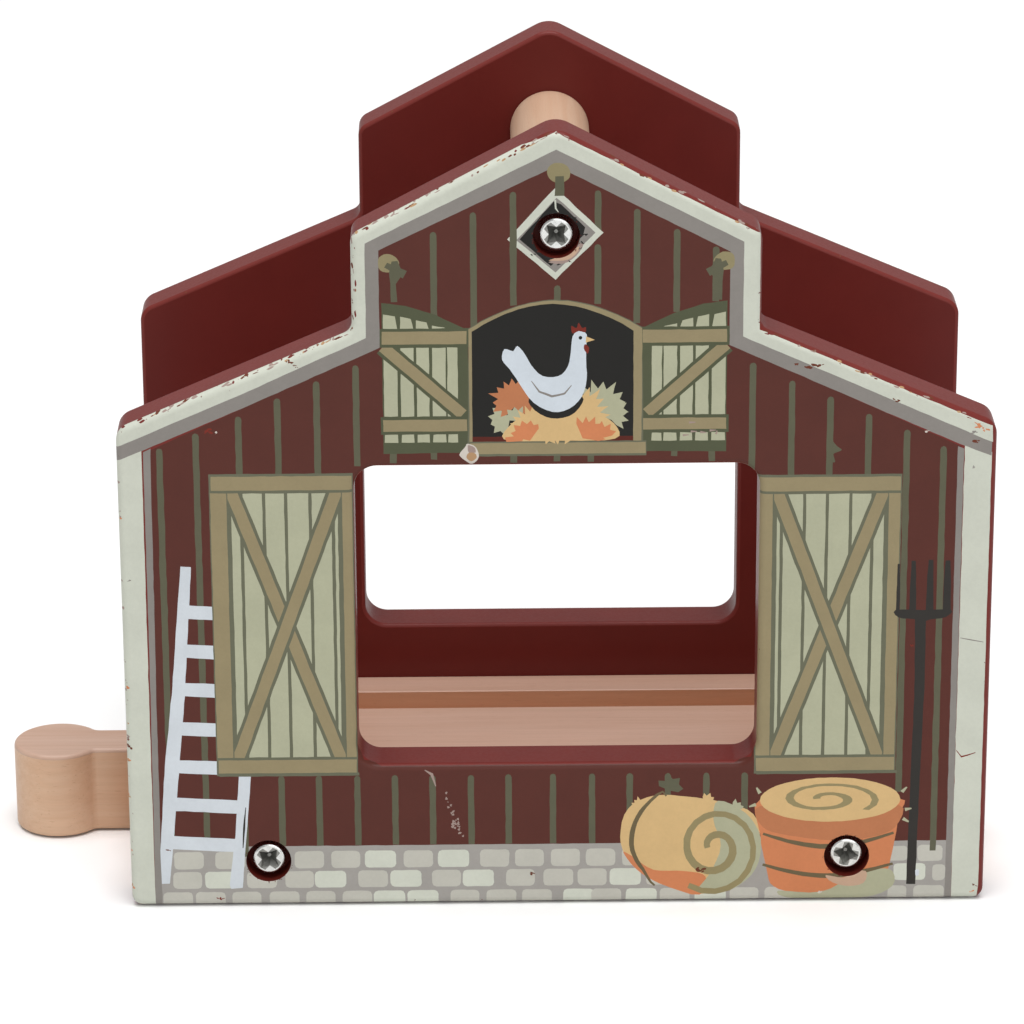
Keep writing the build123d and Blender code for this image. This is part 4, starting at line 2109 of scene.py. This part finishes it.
@dataclass(frozen=True)
class Studio:
    """A pale floor, soft light and the photograph's viewing angle."""

    eye: tuple[float, float, float] = (-10.2, -595.75, 263.5)
    yaw: float = 0.45
    pitch: float = 20.19
    roll: float = -0.33
    lens: float = 166.55
    world_strength: float = 0.42
    floor_reach: float = 0.62
    floor_drop: float = 0.0002
    floor_colour: Colour = (0.8, 0.8, 0.79, 1)
    white: Colour = (1, 1, 1, 1)
    lamps: tuple[SoftLamp, ...] = (
        SoftLamp("lamp_above", (0.0, -0.25, 1.5), 1.3, 21.4),
        SoftLamp("lamp_front", (0.3, -1.1, 0.5), 0.9, 3.1),
    )

    def camera(self) -> None:
        """Sets the camera at the photograph's viewing angle."""
        yaw, pitch, roll = (math.radians(a) for a in (self.yaw, self.pitch, self.roll))
        level = math.cos(pitch)
        ahead = Vector((math.sin(yaw) * level, math.cos(yaw) * level, -math.sin(pitch)))
        right = Vector((math.cos(yaw), -math.sin(yaw), 0))
        up = right.cross(ahead)
        side = right * math.cos(roll) + up * math.sin(roll)
        over = up * math.cos(roll) - right * math.sin(roll)
        data = bpy.data.cameras.new("camera")
        data.lens, data.sensor_width = self.lens, 36.0
        data.clip_start, data.clip_end = 0.01, 20.0
        camera = bpy.data.objects.new("camera", data)
        turn = Matrix((side, over, -ahead)).transposed().to_4x4()
        camera.matrix_world = Matrix.Translation(Vector(self.eye) * MM) @ turn
        bpy.context.scene.collection.objects.link(camera)
        bpy.context.scene.camera = camera

    def light(self) -> None:
        """Lights the toy from a plain world and soft lamps, with white where the world is seen."""
        world = bpy.data.worlds.new("world")
        world.use_nodes = True
        desk = NodeDesk(world.node_tree)
        plain = world.node_tree.nodes["Background"]
        white = desk.add("Background")
        for backdrop, strength in ((plain, self.world_strength), (white, 1.0)):
            backdrop.inputs["Color"].default_value = self.white
            backdrop.inputs["Strength"].default_value = strength
        blend = desk.add("MixShader")
        for slot, source in zip(blend.inputs, (desk.seen(), plain.outputs[0], white.outputs[0])):
            desk.join(source, slot)
        desk.join(blend.outputs[0], world.node_tree.nodes["World Output"].inputs["Surface"])
        bpy.context.scene.world = world
        for lamp in self.lamps:
            lamp.hang()

    def floor(self) -> None:
        """Lays the pale floor, which shows white and keeps the shadow."""
        data = bpy.data.meshes.new("floor")
        corners = ((-1, -1), (1, -1), (1, 1), (-1, 1))
        reach = self.floor_reach
        points = [(x * reach, y * reach, -self.floor_drop) for x, y in corners]
        data.from_pydata(points, [], [(0, 1, 2, 3)])
        material = bpy.data.materials.new("pale floor")
        material.use_nodes = True
        desk = NodeDesk(material.node_tree)
        surface = material.node_tree.nodes["Principled BSDF"]
        colour = desk.mix(desk.seen(), self.floor_colour, self.white)
        desk.join(colour, surface.inputs["Base Color"])
        surface.inputs["Roughness"].default_value = 0.9
        surface.inputs["Specular IOR Level"].default_value = 0.1
        data.materials.append(material)
        floor = bpy.data.objects.new("floor", data)
        bpy.context.scene.collection.objects.link(floor)


def report(piece: bpy.types.Object, slot: str, *nodes: str) -> None:
    """Puts a finished piece on its body and says so.

    Args:
        piece: the piece.
        slot: the material slot named for the piece; not used.
        nodes: the CAD nodes it stands for.
    """
    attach(piece, "root")
    if nodes:
        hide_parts(*nodes)
    LOG.info("%s: %d faces", piece.name, len(piece.data.polygons))


def panels() -> None:
    """Builds both panels with their prints."""
    paints = [PanelInk(title=ink.title, ink=ink).make() for ink in Ink]
    for side, facing in FACINGS.items():
        shapes = BarnPrint(seed=PRINT_SEEDS[side]).draw()
        panel = Panel(facing, paints).build(f"{side}_barn_panel", shapes)
        report(panel, "painted_panel", f"{side}_panel")


def woodwork() -> None:
    """Builds the track piece with its peg, and the dowel."""
    top = BeechFinish("track beech", light=(214, 175, 154), dark=(209, 168, 145), flecks=0.3)
    # Darker and oranger than the track's top: painted shade and painted red bounce light inside the
    # grooves
    groove = BeechFinish("groove beech with painted shade", light=(207, 156, 123), dark=(199, 146, 112), flecks=0.3)
    # Lit and shaded copies of the track's beech for the peg: its top painted darker and its sides
    # lighter for how the lamp above falls on them
    peg_top_painted_darker = BeechFinish("peg top beech painted darker", light=(198, 166, 147), dark=(192, 157, 136), flecks=0.2)
    peg_side_painted_lighter = BeechFinish("peg side beech painted lighter", light=(216, 180, 150), dark=(210, 170, 138))
    track = TrackPiece([top.make(), groove.make()], [peg_top_painted_darker.make(), peg_side_painted_lighter.make()])
    report(track.body(), "beech", "track_base")
    report(track.peg_piece(), "beech")
    turned = BeechFinish(
        "dowel beech", grain_along_y=True, light=(208, 175, 149), dark=(201, 163, 135), flecks=0.3
    )
    report(Dowel(turned.make()).build(), "beech", "top_dowel")


def screws() -> None:
    """Builds the six screws."""
    # The recess zinc is darker and rougher: painted shade in the cross recess
    zinc = ZincFinish("bright zinc"), ZincFinish("recess zinc with painted shade", (146, 146, 142), smooth=0.36)
    finishes = [finish.make() for finish in zinc]
    for side, facing in FACINGS.items():
        for name, place in SCREW_PLACES.items():
            screw = Screw(facing, place, finishes, SCREW_TURNS[name])
            piece = screw.build(f"{side}_{name}_cross_screw")
            report(piece, "screw_steel", f"{side}_{name}_screw")


def main() -> None:
    """Builds the toy, its light and its camera."""
    logging.basicConfig(level=logging.INFO, format="%(message)s")
    bpy.context.scene.view_settings.view_transform = "Standard"
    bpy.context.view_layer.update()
    studio = Studio()
    studio.camera()
    studio.light()
    studio.floor()
    panels()
    woodwork()
    screws()


if __name__ == "__main__":
    main()
